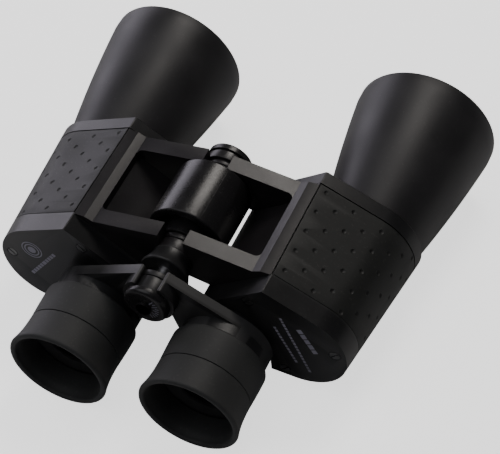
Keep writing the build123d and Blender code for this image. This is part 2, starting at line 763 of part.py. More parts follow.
def build_lens(front_edge_y, edge, front_sag, rear_sag):
    """Round lens on the right-hand eyepiece axis, with a sag on each face."""
    rear_edge_y = front_edge_y - edge
    middle_y = (front_edge_y + rear_edge_y) / 2
    with BuildPart() as lens:
        with BuildSketch(Plane(origin=(eyepiece_x, 0, eyepiece_z), x_dir=(1, 0, 0), z_dir=(0, 0, 1))):
            with BuildLine():
                Line((0, rear_edge_y - rear_sag), (0, front_edge_y + front_sag))
                RadiusArc(
                    (0, front_edge_y + front_sag),
                    (eye_lens_radius, front_edge_y),
                    (eye_lens_radius**2 + front_sag**2) / (2 * front_sag),
                )
                Line((eye_lens_radius, front_edge_y), (eye_lens_radius, middle_y))
                Line((eye_lens_radius, middle_y), (eye_lens_radius, rear_edge_y))
                RadiusArc(
                    (eye_lens_radius, rear_edge_y),
                    (0, rear_edge_y - rear_sag),
                    (eye_lens_radius**2 + rear_sag**2) / (2 * rear_sag),
                )
            make_face()
        revolve(axis=Axis((eyepiece_x, 0, eyepiece_z), (0, 1, 0)))
    return lens.part


eye_lens_front_y = eye_lens_rear_y + eye_lens_seat_gap + eye_lens_edge
eye_lens = build_lens(eye_lens_front_y, eye_lens_edge, eye_lens_sag, eye_lens_sag / 4)
write_pair(eye_lens, "eye_lens")
field_lens = build_lens(field_lens_front_y, field_lens_edge, field_lens_sag, field_lens_sag)
write_pair(field_lens, "field_lens")

with BuildPart() as field_stop:
    rod(eyepiece_x, eyepiece_z, eyepiece_bore_radius, field_stop_y - field_stop_thickness, field_stop_y)
    rod(eyepiece_x, eyepiece_z, field_stop_radius, field_stop_y - field_stop_thickness, field_stop_y, Mode.SUBTRACT)
write_pair(field_stop.part, "field_stop")

with BuildPart() as eyepiece_retainer:
    retainer_rear_y = eye_lens_rear_y - eyepiece_retainer_length
    rod(eyepiece_x, eyepiece_z, eyepiece_bore_radius, retainer_rear_y, eye_lens_rear_y)
    rod(eyepiece_x, eyepiece_z, eye_lens_clear_radius, retainer_rear_y, eye_lens_rear_y, Mode.SUBTRACT)
write_pair(eyepiece_retainer.part, "eyepiece_retainer")
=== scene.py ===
"""Folding Porro-prism binoculars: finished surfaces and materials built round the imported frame."""

import json
import logging
import math
from collections.abc import Sequence
from dataclasses import dataclass
from enum import Enum
from functools import cached_property

import bpy
from mathutils import Matrix, Vector


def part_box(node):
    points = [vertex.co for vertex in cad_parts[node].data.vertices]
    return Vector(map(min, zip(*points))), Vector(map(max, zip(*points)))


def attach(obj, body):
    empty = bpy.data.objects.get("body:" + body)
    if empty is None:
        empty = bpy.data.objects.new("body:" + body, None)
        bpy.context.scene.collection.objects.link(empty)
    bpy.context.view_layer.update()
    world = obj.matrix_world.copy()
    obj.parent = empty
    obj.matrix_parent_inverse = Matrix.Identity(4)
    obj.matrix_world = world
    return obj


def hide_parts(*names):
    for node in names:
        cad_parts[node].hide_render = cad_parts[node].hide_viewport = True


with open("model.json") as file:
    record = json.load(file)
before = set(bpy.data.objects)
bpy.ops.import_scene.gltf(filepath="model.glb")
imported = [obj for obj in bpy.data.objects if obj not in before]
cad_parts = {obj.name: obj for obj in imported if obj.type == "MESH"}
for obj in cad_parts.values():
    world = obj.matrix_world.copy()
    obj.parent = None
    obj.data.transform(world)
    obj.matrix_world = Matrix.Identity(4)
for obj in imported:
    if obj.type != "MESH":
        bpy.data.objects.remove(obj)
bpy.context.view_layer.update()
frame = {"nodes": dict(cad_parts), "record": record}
LOG = logging.getLogger("binoculars")
MM = 0.001
CROSS = (math.pi / 2, 0.0, 0.0)

Profile = list[tuple[float, float]]


class Side(Enum):
    """The two halves, with the sign of their X coordinates."""

    LEFT = -1
    RIGHT = 1

    @property
    def tag(self) -> str:
        """Return the side's name as node names end."""
        return self.name.lower()

    @property
    def half(self) -> str:
        """Return the body that carries this side's prism housing."""
        return f"{self.tag}_half"

    @property
    def ocular(self) -> str:
        """Return the body that carries this side's ocular arm."""
        return f"{self.tag}_ocular"

    @property
    def eyepiece(self) -> str:
        """Return the body that carries this side's eyepiece."""
        return "left_ocular" if self is Side.LEFT else "right_eyepiece"


class Relief(Enum):
    """Surface patterns that a finish can carry."""

    GRAIN = "grain"
    BRUSHED = "brushed"
    DIMPLED = "dimpled"


# ---- modelling steps ---------------------------------------------------------------------------


def deselect_all() -> None:
    """Deselect every object, so that an operator acts only on the piece being made."""
    bpy.ops.object.select_all(action="DESELECT")


def activate(piece: bpy.types.Object) -> None:
    """Select one piece alone and make it active.

    Args:
        piece: The object to work on.
    """
    deselect_all()
    piece.select_set(True)
    bpy.context.view_layer.objects.active = piece


def settle(piece: bpy.types.Object) -> None:
    """Apply a piece's place, so that its object sits at the origin.

    Args:
        piece: The object to settle.
    """
    activate(piece)
    bpy.ops.object.transform_apply(location=True, rotation=True, scale=True)


def edit_all(piece: bpy.types.Object) -> None:
    """Open a piece in edit mode with all of it selected.

    Args:
        piece: The object to open.
    """
    activate(piece)
    bpy.ops.object.mode_set(mode="EDIT")
    bpy.ops.mesh.select_all(action="SELECT")


def close_edit(merge: float = 3e-5) -> None:
    """Merge doubles, turn the faces outwards and leave edit mode.

    Args:
        merge: Distance under which points are merged, in metres.
    """
    bpy.ops.mesh.select_all(action="SELECT")
    bpy.ops.mesh.remove_doubles(threshold=merge)
    bpy.ops.mesh.normals_make_consistent(inside=False)
    bpy.ops.object.mode_set(mode="OBJECT")


def smooth(piece: bpy.types.Object, degrees: float = 32.0) -> None:
    """Shade a piece smooth, except across edges sharper than an angle.

    Args:
        piece: The object to shade.
        degrees: Angle above which an edge stays sharp.
    """
    activate(piece)
    bpy.ops.object.shade_smooth_by_angle(angle=math.radians(degrees))


def apply_modifier(piece: bpy.types.Object, kind: str, **settings: object) -> None:
    """Add one modifier to a piece and apply it.

    Args:
        piece: The object that takes the modifier.
        kind: Blender's name of the modifier type.
        **settings: The modifier's settings by name.
    """
    activate(piece)
    modifier = piece.modifiers.new(kind.title(), kind)
    for name, value in settings.items():
        setattr(modifier, name, value)
    bpy.ops.object.modifier_apply(modifier=modifier.name)


def flatten_normals(piece: bpy.types.Object) -> None:
    """Keep a bevelled piece's flats flat in shading."""
    smooth(piece, 40.0)
    apply_modifier(piece, "WEIGHTED_NORMAL", keep_sharp=True, weight=80)


def round_edges(
    piece: bpy.types.Object, width: float, degrees: float = 35.0, flatten: bool = True
) -> None:
    """Bevel a piece's sharp edges and keep its flats flat in shading.

    Args:
        piece: The object to bevel.
        width: Bevel width in metres.
        degrees: Angle above which an edge is bevelled.
        flatten: Whether the normals are set now, and not after a later cut.
    """
    apply_modifier(
        piece,
        "BEVEL",
        width=width,
        segments=3,
        limit_method="ANGLE",
        angle_limit=math.radians(degrees),
        use_clamp_overlap=True,
        miter_outer="MITER_ARC",
    )
    if flatten:
        flatten_normals(piece)


def cut(piece: bpy.types.Object, tool: bpy.types.Object, operation: str = "DIFFERENCE") -> None:
    """Cut a piece with a tool object, then remove the tool.

    Args:
        piece: The object that is cut.
        tool: The closed object that cuts it.
        operation: The boolean's operation.
    """
    apply_modifier(piece, "BOOLEAN", operation=operation, object=tool, solver="MANIFOLD")
    bpy.data.objects.remove(tool)


def copy_at(piece: bpy.types.Object, place: Vector) -> bpy.types.Object:
    """Copy a piece, with a mesh of its own, to another place.

    Args:
        piece: The object to copy.
        place: Where the copy goes.

    Returns:
        The copy.
    """
    made = piece.copy()
    made.data = piece.data.copy()
    made.data.transform(Matrix.Translation(place))
    bpy.context.scene.collection.objects.link(made)
    return made


def join(pieces: Sequence[bpy.types.Object], name: str) -> bpy.types.Object:
    """Join several objects of one finish into one piece.

    Args:
        pieces: The objects to join, the first of which is kept.
        name: The joined piece's name.

    Returns:
        The joined piece.
    """
    activate(pieces[0])
    for piece in pieces[1:]:
        piece.select_set(True)
    bpy.ops.object.join()
    joined = bpy.context.view_layer.objects.active
    joined.name = name
    joined.data.name = name
    return joined


def bisect(
    piece: bpy.types.Object, place: tuple[float, float, float], normal: tuple[float, float, float]
) -> None:
    """Cut a piece at a plane, drop what lies along the normal, and close the cut.

    Args:
        piece: The closed object to cut.
        place: A point on the plane.
        normal: The plane's normal, towards what is dropped.
    """
    edit_all(piece)
    bpy.ops.mesh.bisect(plane_co=place, plane_no=normal, use_fill=True, clear_outer=True)
    close_edit()


def arc_points(
    centre: tuple[float, float], radius: float, start: float, end: float, steps: int = 6
) -> Profile:
    """Work out points on an arc of a turned profile.

    Args:
        centre: The arc's centre as (radius, y).
        radius: The arc's own radius.
        start: First angle in degrees, from the direction of growing radius towards +Y.
        end: Last angle in degrees.
        steps: Number of segments.

    Returns:
        The points from start to end.
    """
    points: Profile = []
    for index in range(steps + 1):
        angle = math.radians(start + (end - start) * index / steps)
        points.append((centre[0] + radius * math.cos(angle), centre[1] + radius * math.sin(angle)))
    return points


def lathe(
    name: str, axis: tuple[float, float], profile: Profile, closed: bool = True, segments: int = 96
) -> bpy.types.Object:
    """Turn a profile of (radius, y) points about a line along Y.

    Args:
        name: The new piece's name.
        axis: The line's (x, z).
        profile: The points of the section, in order.
        closed: Whether the last point joins the first.
        segments: Number of steps round the axis.

    Returns:
        The turned piece, with its place in its mesh.
    """
    tiny = 1e-5
    points = [(max(radius, tiny), y) for radius, y in profile]
    if closed:
        points.append(points[0])
    radius, y = points[0]
    deselect_all()
    bpy.ops.mesh.primitive_circle_add(
        vertices=segments, radius=radius, fill_type="NOTHING", location=(axis[0], y, axis[1]), rotation=CROSS
    )
    piece = bpy.context.active_object
    piece.name = name
    settle(piece)
    edit_all(piece)
    for next_radius, next_y in points[1:]:
        bpy.ops.mesh.extrude_region_move(TRANSFORM_OT_translate={"value": (0.0, next_y - y, 0.0)})
        ratio = next_radius / radius
        if abs(ratio - 1.0) > 1e-9:
            bpy.ops.transform.resize(value=(ratio, 1.0, ratio), center_override=(axis[0], next_y, axis[1]))
        radius, y = next_radius, next_y
    close_edit()
    smooth(piece)
    return piece


def hull(
    name: str, rings: Sequence[tuple[float, float, float, float]], segments: int = 96
) -> bpy.types.Object:
    """Wrap a convex solid round circles that stand across the instrument.

    Args:
        name: The new piece's name.
        rings: Each circle's (x, y, z, radius).
        segments: Number of steps round each circle.

    Returns:
        The closed solid, with flat faces merged.
    """
    deselect_all()
    x, y, z, radius = rings[0]
    bpy.ops.mesh.primitive_circle_add(
        vertices=segments, radius=radius, fill_type="NOTHING", location=(x, y, z), rotation=CROSS
    )
    piece = bpy.context.active_object
    piece.name = name
    settle(piece)
    edit_all(piece)
    for x, y, z, radius in rings[1:]:
        bpy.ops.mesh.primitive_circle_add(
            vertices=segments, radius=radius, fill_type="NOTHING", location=(x, y, z), rotation=CROSS
        )
    bpy.ops.mesh.select_all(action="SELECT")
    bpy.ops.mesh.convex_hull(join_triangles=True)
    bpy.ops.mesh.select_all(action="SELECT")
    bpy.ops.mesh.dissolve_limited(angle_limit=math.radians(0.4))
    close_edit()
    return piece


def wrap(circles: Sequence[tuple[float, float, float]], steps: Sequence[int]) -> list[tuple[float, float]]:
    """Work out the outline of a belt that runs round circles, anticlockwise.

    Args:
        circles: Each circle's (x, z, radius), in anticlockwise order.
        steps: Number of segments on each circle's arc.

    Returns:
        The outline's (x, z) points.
    """
    count = len(circles)
    tangents = []
    for index, (x, z, radius) in enumerate(circles):
        next_x, next_z, next_radius = circles[(index + 1) % count]
        run = math.hypot(next_x - x, next_z - z)
        heading = math.atan2(next_z - z, next_x - x)
        tangents.append(heading - math.acos((radius - next_radius) / run))
    points = []
    for index, (x, z, radius) in enumerate(circles):
        start = tangents[index - 1]
        sweep = (tangents[index] - start) % (2 * math.pi)
        for step in range(steps[index] + 1):
            angle = start + sweep * step / steps[index]
            points.append((x + radius * math.cos(angle), z + radius * math.sin(angle)))
    return points


def loft(
    name: str, stations: Sequence[tuple[float, Sequence[tuple[float, float]]]], cuts: int = 7
) -> bpy.types.Object:
    """Bridge outlines that stand across the instrument into one closed solid.

    Args:
        name: The new piece's name.
        stations: Each outline's Y and its (x, z) points, all with as many points.
        cuts: Number of loops between two outlines.

    Returns:
        The closed solid.
    """
    rings = []
    for y, outline in stations:
        curve = bpy.data.curves.new(name, "CURVE")
        curve.dimensions = "3D"
        spline = curve.splines.new("POLY")
        spline.points.add(len(outline) - 1)
        for point, (x, z) in zip(spline.points, outline):
            point.co = (x, y, z, 1.0)
        spline.use_cyclic_u = True
        ring = bpy.data.objects.new(name, curve)
        bpy.context.scene.collection.objects.link(ring)
        activate(ring)
        bpy.ops.object.convert(target="MESH")
        rings.append(bpy.context.active_object)
    piece = join(rings, name)
    edit_all(piece)
    bpy.ops.mesh.select_mode(type="EDGE")
    bpy.ops.mesh.bridge_edge_loops(number_cuts=cuts, interpolation="LINEAR", use_merge=False)
    bpy.ops.mesh.select_mode(type="VERT")
    bpy.ops.mesh.select_all(action="DESELECT")
    bpy.ops.mesh.select_non_manifold()
    bpy.ops.mesh.edge_face_add()
    close_edit(1e-6)
    return piece


def plate(name: str, outline: Sequence[tuple[float, float]], rear: float, front: float) -> bpy.types.Object:
    """Make a flat plate across the instrument from its (x, z) outline.

    Args:
        name: The new piece's name.
        outline: The corners of the outline.
        rear: Y of the plate's rear face.
        front: Y of its front face.

    Returns:
        The closed plate.
    """
    curve = bpy.data.curves.new(name, "CURVE")
    curve.dimensions = "2D"
    curve.fill_mode = "BOTH"
    curve.extrude = (front - rear) / 2
    spline = curve.splines.new("POLY")
    spline.points.add(len(outline) - 1)
    for point, (x, z) in zip(spline.points, outline):
        point.co = (x, z, 0.0, 1.0)
    spline.use_cyclic_u = True
    piece = bpy.data.objects.new(name, curve)
    bpy.context.scene.collection.objects.link(piece)
    activate(piece)
    bpy.ops.object.convert(target="MESH")
    piece = bpy.context.active_object
    piece.location = (0.0, (front + rear) / 2, 0.0)
    piece.rotation_euler = CROSS
    settle(piece)
    edit_all(piece)
    close_edit()
    return piece


def block(
    name: str, low: tuple[float, float, float], high: tuple[float, float, float], corner: float = 0.0
) -> bpy.types.Object:
    """Make a box between two corners, with its upright edges rounded.

    Args:
        name: The new piece's name.
        low: Lowest corner.
        high: Highest corner.
        corner: Radius of the upright edges.

    Returns:
        The box.
    """
    deselect_all()
    middle = [(a + b) / 2 for a, b in zip(low, high)]
    size = [b - a for a, b in zip(low, high)]
    bpy.ops.mesh.primitive_cube_add(size=1.0, location=middle, scale=size)
    piece = bpy.context.active_object
    piece.name = name
    settle(piece)
    if corner > 0:
        bpy.ops.object.mode_set(mode="EDIT")
        bpy.ops.mesh.select_all(action="DESELECT")
        bpy.ops.object.mode_set(mode="OBJECT")
        for edge in piece.data.edges:
            ends = [piece.data.vertices[index].co for index in edge.vertices]
            edge.select = abs(ends[0].z - ends[1].z) > (high[2] - low[2]) / 2
        bpy.ops.object.mode_set(mode="EDIT")
        bpy.ops.mesh.select_mode(type="EDGE")
        bpy.ops.mesh.bevel(offset=corner, segments=8, affect="EDGES")
        bpy.ops.mesh.select_mode(type="VERT")
        bpy.ops.object.mode_set(mode="OBJECT")
    return piece


@dataclass(frozen=True)
class Round:
    """A CAD node that is round about a line along Y."""

    x: float
    z: float
    radius: float
    rear: float
    front: float

    @classmethod
    def of(cls, node: str) -> "Round":
        """Measure a node.

        Args:
            node: The CAD node's name.

        Returns:
            Its axis, radius and ends.
        """
        low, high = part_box(node)
        return cls((low.x + high.x) / 2, (low.z + high.z) / 2, (high.x - low.x) / 2, low.y, high.y)

    @property
    def axis(self) -> tuple[float, float]:
        """Return the axis as (x, z)."""
        return self.x, self.z


# ---- shader groups and finishes -----------------------------------------------------------------


class ShaderGroup:
    """A named node group with inputs and outputs, built once and placed in many materials."""

    def __init__(self, name: str, inputs: dict[str, float], outputs: dict[str, str]) -> None:
        """Make the empty group.

        Args:
            name: The group's name.
            inputs: Default of each float input.
            outputs: Socket type of each output.
        """
        self.tree = bpy.data.node_groups.new(name, "ShaderNodeTree")
        for socket, value in inputs.items():
            made = self.tree.interface.new_socket(socket, in_out="INPUT", socket_type="NodeSocketFloat")
            made.default_value = value
        for socket, kind in outputs.items():
            self.tree.interface.new_socket(socket, in_out="OUTPUT", socket_type=kind)
        self.entry = self.tree.nodes.new("NodeGroupInput")
        self.exit = self.tree.nodes.new("NodeGroupOutput")

    def node(self, kind: str, **settings: object) -> bpy.types.Node:
        """Add a node to the group.

        Args:
            kind: The node's type name.
            **settings: The node's settings by name.

        Returns:
            The node.
        """
        made = self.tree.nodes.new(kind)
        for name, value in settings.items():
            setattr(made, name, value)
        return made

    def link(self, source: bpy.types.NodeSocket, target: bpy.types.NodeSocket) -> None:
        """Join two sockets."""
        self.tree.links.new(source, target)

    def maths(self, operation: str, *values: "bpy.types.NodeSocket | float") -> bpy.types.NodeSocket:
        """Add one arithmetic step.

        Args:
            operation: The Math node's operation.
            *values: Sockets or numbers, in order.

        Returns:
            The result's socket.
        """
        made = self.node("ShaderNodeMath", operation=operation)
        for index, value in enumerate(values):
            if isinstance(value, (int, float)):
                made.inputs[index].default_value = value
            else:
                self.link(value, made.inputs[index])
        return made.outputs[0]


def grain_group() -> ShaderGroup:
    """Build the fine moulded or sprayed grain: a height, and a cloudy mask for roughness.

    Returns:
        The group.
    """
    group = ShaderGroup(
        "FineGrain",
        {"Scale": 4000.0, "Depth": 1.0, "Stretch": 1.0},
        {"Height": "NodeSocketFloat", "Cloud": "NodeSocketFloat"},
    )
    place = group.node("ShaderNodeTexCoord")
    split = group.node("ShaderNodeSeparateXYZ")
    group.link(place.outputs["Object"], split.inputs[0])
    along = group.maths("MULTIPLY", split.outputs[1], group.entry.outputs["Stretch"])
    joined = group.node("ShaderNodeCombineXYZ")
    group.link(split.outputs[0], joined.inputs[0])
    group.link(along, joined.inputs[1])
    group.link(split.outputs[2], joined.inputs[2])
    fine = group.node("ShaderNodeTexNoise")
    fine.inputs["Detail"].default_value = 3.0
    group.link(joined.outputs[0], fine.inputs["Vector"])
    group.link(group.entry.outputs["Scale"], fine.inputs["Scale"])
    group.link(
        group.maths("MULTIPLY", fine.outputs["Fac"], group.entry.outputs["Depth"]),
        group.exit.inputs["Height"],
    )
    broad = group.node("ShaderNodeTexNoise")
    broad.inputs["Scale"].default_value = 55.0
    broad.inputs["Detail"].default_value = 4.0
    group.link(place.outputs["Object"], broad.inputs["Vector"])
    group.link(broad.outputs["Fac"], group.exit.inputs["Cloud"])
    return group


def edge_wear_and_highlight_group() -> ShaderGroup:
    """Build edge wear and painted edge highlight: a mask that is strong on rounded edges and broken up by
    noise.

    Returns:
        The group.
    """
    group = ShaderGroup("EdgeWearAndHighlight", {"Reach": 0.53, "Break": 0.5}, {"Mask": "NodeSocketFloat"})
    shape = group.node("ShaderNodeNewGeometry")
    raised = group.maths("SUBTRACT", shape.outputs["Pointiness"], group.entry.outputs["Reach"])
    strong = group.maths("MULTIPLY", raised, 14.0)
    noise = group.node("ShaderNodeTexNoise")
    noise.inputs["Scale"].default_value = 420.0
    noise.inputs["Detail"].default_value = 4.0
    place = group.node("ShaderNodeTexCoord")
    group.link(place.outputs["Object"], noise.inputs["Vector"])
    broken = group.maths("MULTIPLY", noise.outputs["Fac"], group.entry.outputs["Break"])
    kept = group.maths("SUBTRACT", 1.0, broken)
    mask = group.node("ShaderNodeMath", operation="MULTIPLY", use_clamp=True)
    group.link(strong, mask.inputs[0])
    group.link(kept, mask.inputs[1])
    group.link(mask.outputs[0], group.exit.inputs["Mask"])
    return group


def dust_group() -> ShaderGroup:
    """Build fine dust: a sparse mask of specks on surfaces that face up.

    Returns:
        The group.
    """
    group = ShaderGroup("SettledDust", {"Amount": 0.1}, {"Mask": "NodeSocketFloat"})
    place = group.node("ShaderNodeTexCoord")
    noise = group.node("ShaderNodeTexNoise")
    noise.inputs["Scale"].default_value = 900.0
    noise.inputs["Detail"].default_value = 5.0
    group.link(place.outputs["Object"], noise.inputs["Vector"])
    speck = group.maths("SUBTRACT", noise.outputs["Fac"], 0.6)
    speck = group.maths("MULTIPLY", speck, 6.0)
    shape = group.node("ShaderNodeNewGeometry")
    split = group.node("ShaderNodeSeparateXYZ")
    group.link(shape.outputs["Normal"], split.inputs[0])
    up = group.maths("MAXIMUM", split.outputs[2], 0.0)
    mask = group.node("ShaderNodeMath", operation="MULTIPLY", use_clamp=True)
    group.link(group.maths("MULTIPLY", speck, up), mask.inputs[0])
    group.link(group.entry.outputs["Amount"], mask.inputs[1])
    group.link(mask.outputs[0], group.exit.inputs["Mask"])
    return group


def dimple_shade_group() -> ShaderGroup:
    """Build the grip's dimples on the piece's own UV map, in millimetres: a round hollow's mask, used to
    paint shade into each dimple.

    Returns:
        The group.
    """
    group = ShaderGroup(
        "GripDimpleShade",
        {"Column": 6.7, "Pitch": 10.45, "Shift": 4.6, "Radius": 0.95, "First": 3.9, "Start": 0.1},
        {"Hollow": "NodeSocketFloat"},
    )
    inputs = group.entry.outputs
    uv = group.node("ShaderNodeUVMap", uv_map="Unrolled")
    split = group.node("ShaderNodeSeparateXYZ")
    group.link(uv.outputs[0], split.inputs[0])
    across = group.maths("SUBTRACT", split.outputs[0], inputs["First"])
    column = group.maths("ROUND", group.maths("DIVIDE", across, inputs["Column"]))
    off_across = group.maths("SUBTRACT", across, group.maths("MULTIPLY", column, inputs["Column"]))
    along = group.maths("SUBTRACT", split.outputs[1], inputs["Start"])
    along = group.maths("SUBTRACT", along, group.maths("MULTIPLY", column, inputs["Shift"]))
    row = group.maths("ROUND", group.maths("DIVIDE", along, inputs["Pitch"]))
    off_along = group.maths("SUBTRACT", along, group.maths("MULTIPLY", row, inputs["Pitch"]))
    square = group.maths(
        "ADD",
        group.maths("MULTIPLY", off_across, off_across),
        group.maths("MULTIPLY", off_along, off_along),
    )
    distance = group.maths("DIVIDE", group.maths("SQRT", square), inputs["Radius"])
    hollow = group.node("ShaderNodeMapRange", interpolation_type="SMOOTHERSTEP")
    group.link(distance, hollow.inputs["Value"])
    hollow.inputs["From Min"].default_value = 0.45
    hollow.inputs["From Max"].default_value = 1.15
    hollow.inputs["To Min"].default_value = 1.0
    hollow.inputs["To Max"].default_value = 0.0
    group.link(hollow.outputs[0], group.exit.inputs["Hollow"])
    return group


@dataclass(frozen=True)
class Finish:
    """One surface finish: its colours, gloss, relief, the wear and dust it shows, a painted highlight on
    rounded edges and painted shade in dimples.
    """

    name: str
    base: tuple[float, float, float]
    worn_and_highlit: tuple[float, float, float]
    roughness: float
    spread: float = 0.1
    metallic: float = 0.0
    coat: float = 0.0
    relief: Relief = Relief.GRAIN
    grain_scale: float = 5200.0
    grain_depth: float = 0.00002
    wear_and_highlight: float = 0.0
    dust: float = 0.06
    sheen: float = 0.0
    glass: float = 0.0
    ior: float = 1.5

    def build(self, groups: dict[str, ShaderGroup]) -> bpy.types.Material:
        """Make the material.

        Args:
            groups: The shader groups by name.

        Returns:
            The material.
        """
        material = bpy.data.materials.new(self.name)
        material.use_nodes = True
        tree = material.node_tree
        shader = tree.nodes["Principled BSDF"]
        shader.inputs["Metallic"].default_value = self.metallic
        shader.inputs["IOR"].default_value = self.ior
        shader.inputs["Coat Weight"].default_value = self.coat
        shader.inputs["Coat Roughness"].default_value = 0.2
        shader.inputs["Transmission Weight"].default_value = self.glass
        shader.inputs["Sheen Weight"].default_value = self.sheen
        shader.inputs["Sheen Roughness"].default_value = 0.5
        grain = self._place(tree, groups["grain"])
        grain.inputs["Scale"].default_value = self.grain_scale
        grain.inputs["Stretch"].default_value = 0.04 if self.relief is Relief.BRUSHED else 1.0
        wear_and_highlight = self._place(tree, groups["wear_and_highlight"])
        dust = self._place(tree, groups["dust"])
        dust.inputs["Amount"].default_value = self.dust
        tint = self._ramp(tree, grain.outputs["Cloud"], self._shade(0.86), self._shade(1.14))
        # Edges lighten towards the worn tint: partly worn paint, partly a painted highlight on rounded edges.
        worn_and_highlit = self._mix(tree, self._scaled(tree, wear_and_highlight.outputs["Mask"], self.wear_and_highlight), tint, self.worn_and_highlit)
        dusty_and_shaded = self._mix(tree, dust.outputs["Mask"], worn_and_highlit, (0.35, 0.33, 0.31))
        height = grain.outputs["Height"]
        if self.relief is Relief.DIMPLED:
            dimple = self._place(tree, groups["dimple"])
            # Painted shade: the base colour is darkened inside each dimple, where the hollow falls into
            # shade.
            painted_dimple_shade = self._scaled(tree, dimple.outputs["Hollow"], 0.6)
            dusty_and_shaded = self._mix(tree, painted_dimple_shade, dusty_and_shaded, (0.004, 0.004, 0.004))
        tree.links.new(dusty_and_shaded, shader.inputs["Base Color"])
        gloss = tree.nodes.new("ShaderNodeMapRange")
        gloss.inputs["From Min"].default_value = 0.3
        gloss.inputs["From Max"].default_value = 0.7
        gloss.inputs["To Min"].default_value = max(self.roughness - self.spread, 0.02)
        gloss.inputs["To Max"].default_value = min(self.roughness + self.spread, 1.0)
        tree.links.new(grain.outputs["Cloud"], gloss.inputs["Value"])
        tree.links.new(gloss.outputs[0], shader.inputs["Roughness"])
        bump = tree.nodes.new("ShaderNodeBump")
        bump.inputs["Strength"].default_value = 1.0
        bump.inputs["Distance"].default_value = self.grain_depth
        tree.links.new(height, bump.inputs["Height"])
        tree.links.new(bump.outputs[0], shader.inputs["Normal"])
        return material

    def _shade(self, factor: float) -> tuple[float, float, float]:
        """Return the base colour made lighter or darker."""
        return tuple(min(channel * factor, 1.0) for channel in self.base)

    @staticmethod
    def _place(tree: bpy.types.NodeTree, group: ShaderGroup) -> bpy.types.Node:
        """Place a shader group in a material."""
        made = tree.nodes.new("ShaderNodeGroup")
        made.node_tree = group.tree
        return made

    @staticmethod
    def _scaled(
        tree: bpy.types.NodeTree, source: bpy.types.NodeSocket, factor: float
    ) -> bpy.types.NodeSocket:
        """Multiply a mask by a number."""
        made = tree.nodes.new("ShaderNodeMath")
        made.operation = "MULTIPLY"
        made.inputs[1].default_value = factor
        tree.links.new(source, made.inputs[0])
        return made.outputs[0]

    @staticmethod
    def _ramp(
        tree: bpy.types.NodeTree,
        source: bpy.types.NodeSocket,
        low: tuple[float, float, float],
        high: tuple[float, float, float],
    ) -> bpy.types.NodeSocket:
        """Spread a mask between two colours."""
        made = tree.nodes.new("ShaderNodeValToRGB")
        made.color_ramp.elements[0].position = 0.3
        made.color_ramp.elements[0].color = (*low, 1.0)
        made.color_ramp.elements[1].position = 0.7
        made.color_ramp.elements[1].color = (*high, 1.0)
        tree.links.new(source, made.inputs[0])
        return made.outputs[0]

    @staticmethod
    def _mix(
        tree: bpy.types.NodeTree,
        mask: bpy.types.NodeSocket,
        under: bpy.types.NodeSocket,
        over: tuple[float, float, float],
    ) -> bpy.types.NodeSocket:
        """Lay one colour over another where a mask says."""
        made = tree.nodes.new("ShaderNodeMix")
        made.data_type = "RGBA"
        tree.links.new(mask, made.inputs["Factor"])
        tree.links.new(under, made.inputs[6])
        made.inputs[7].default_value = (*over, 1.0)
        return made.outputs[2]


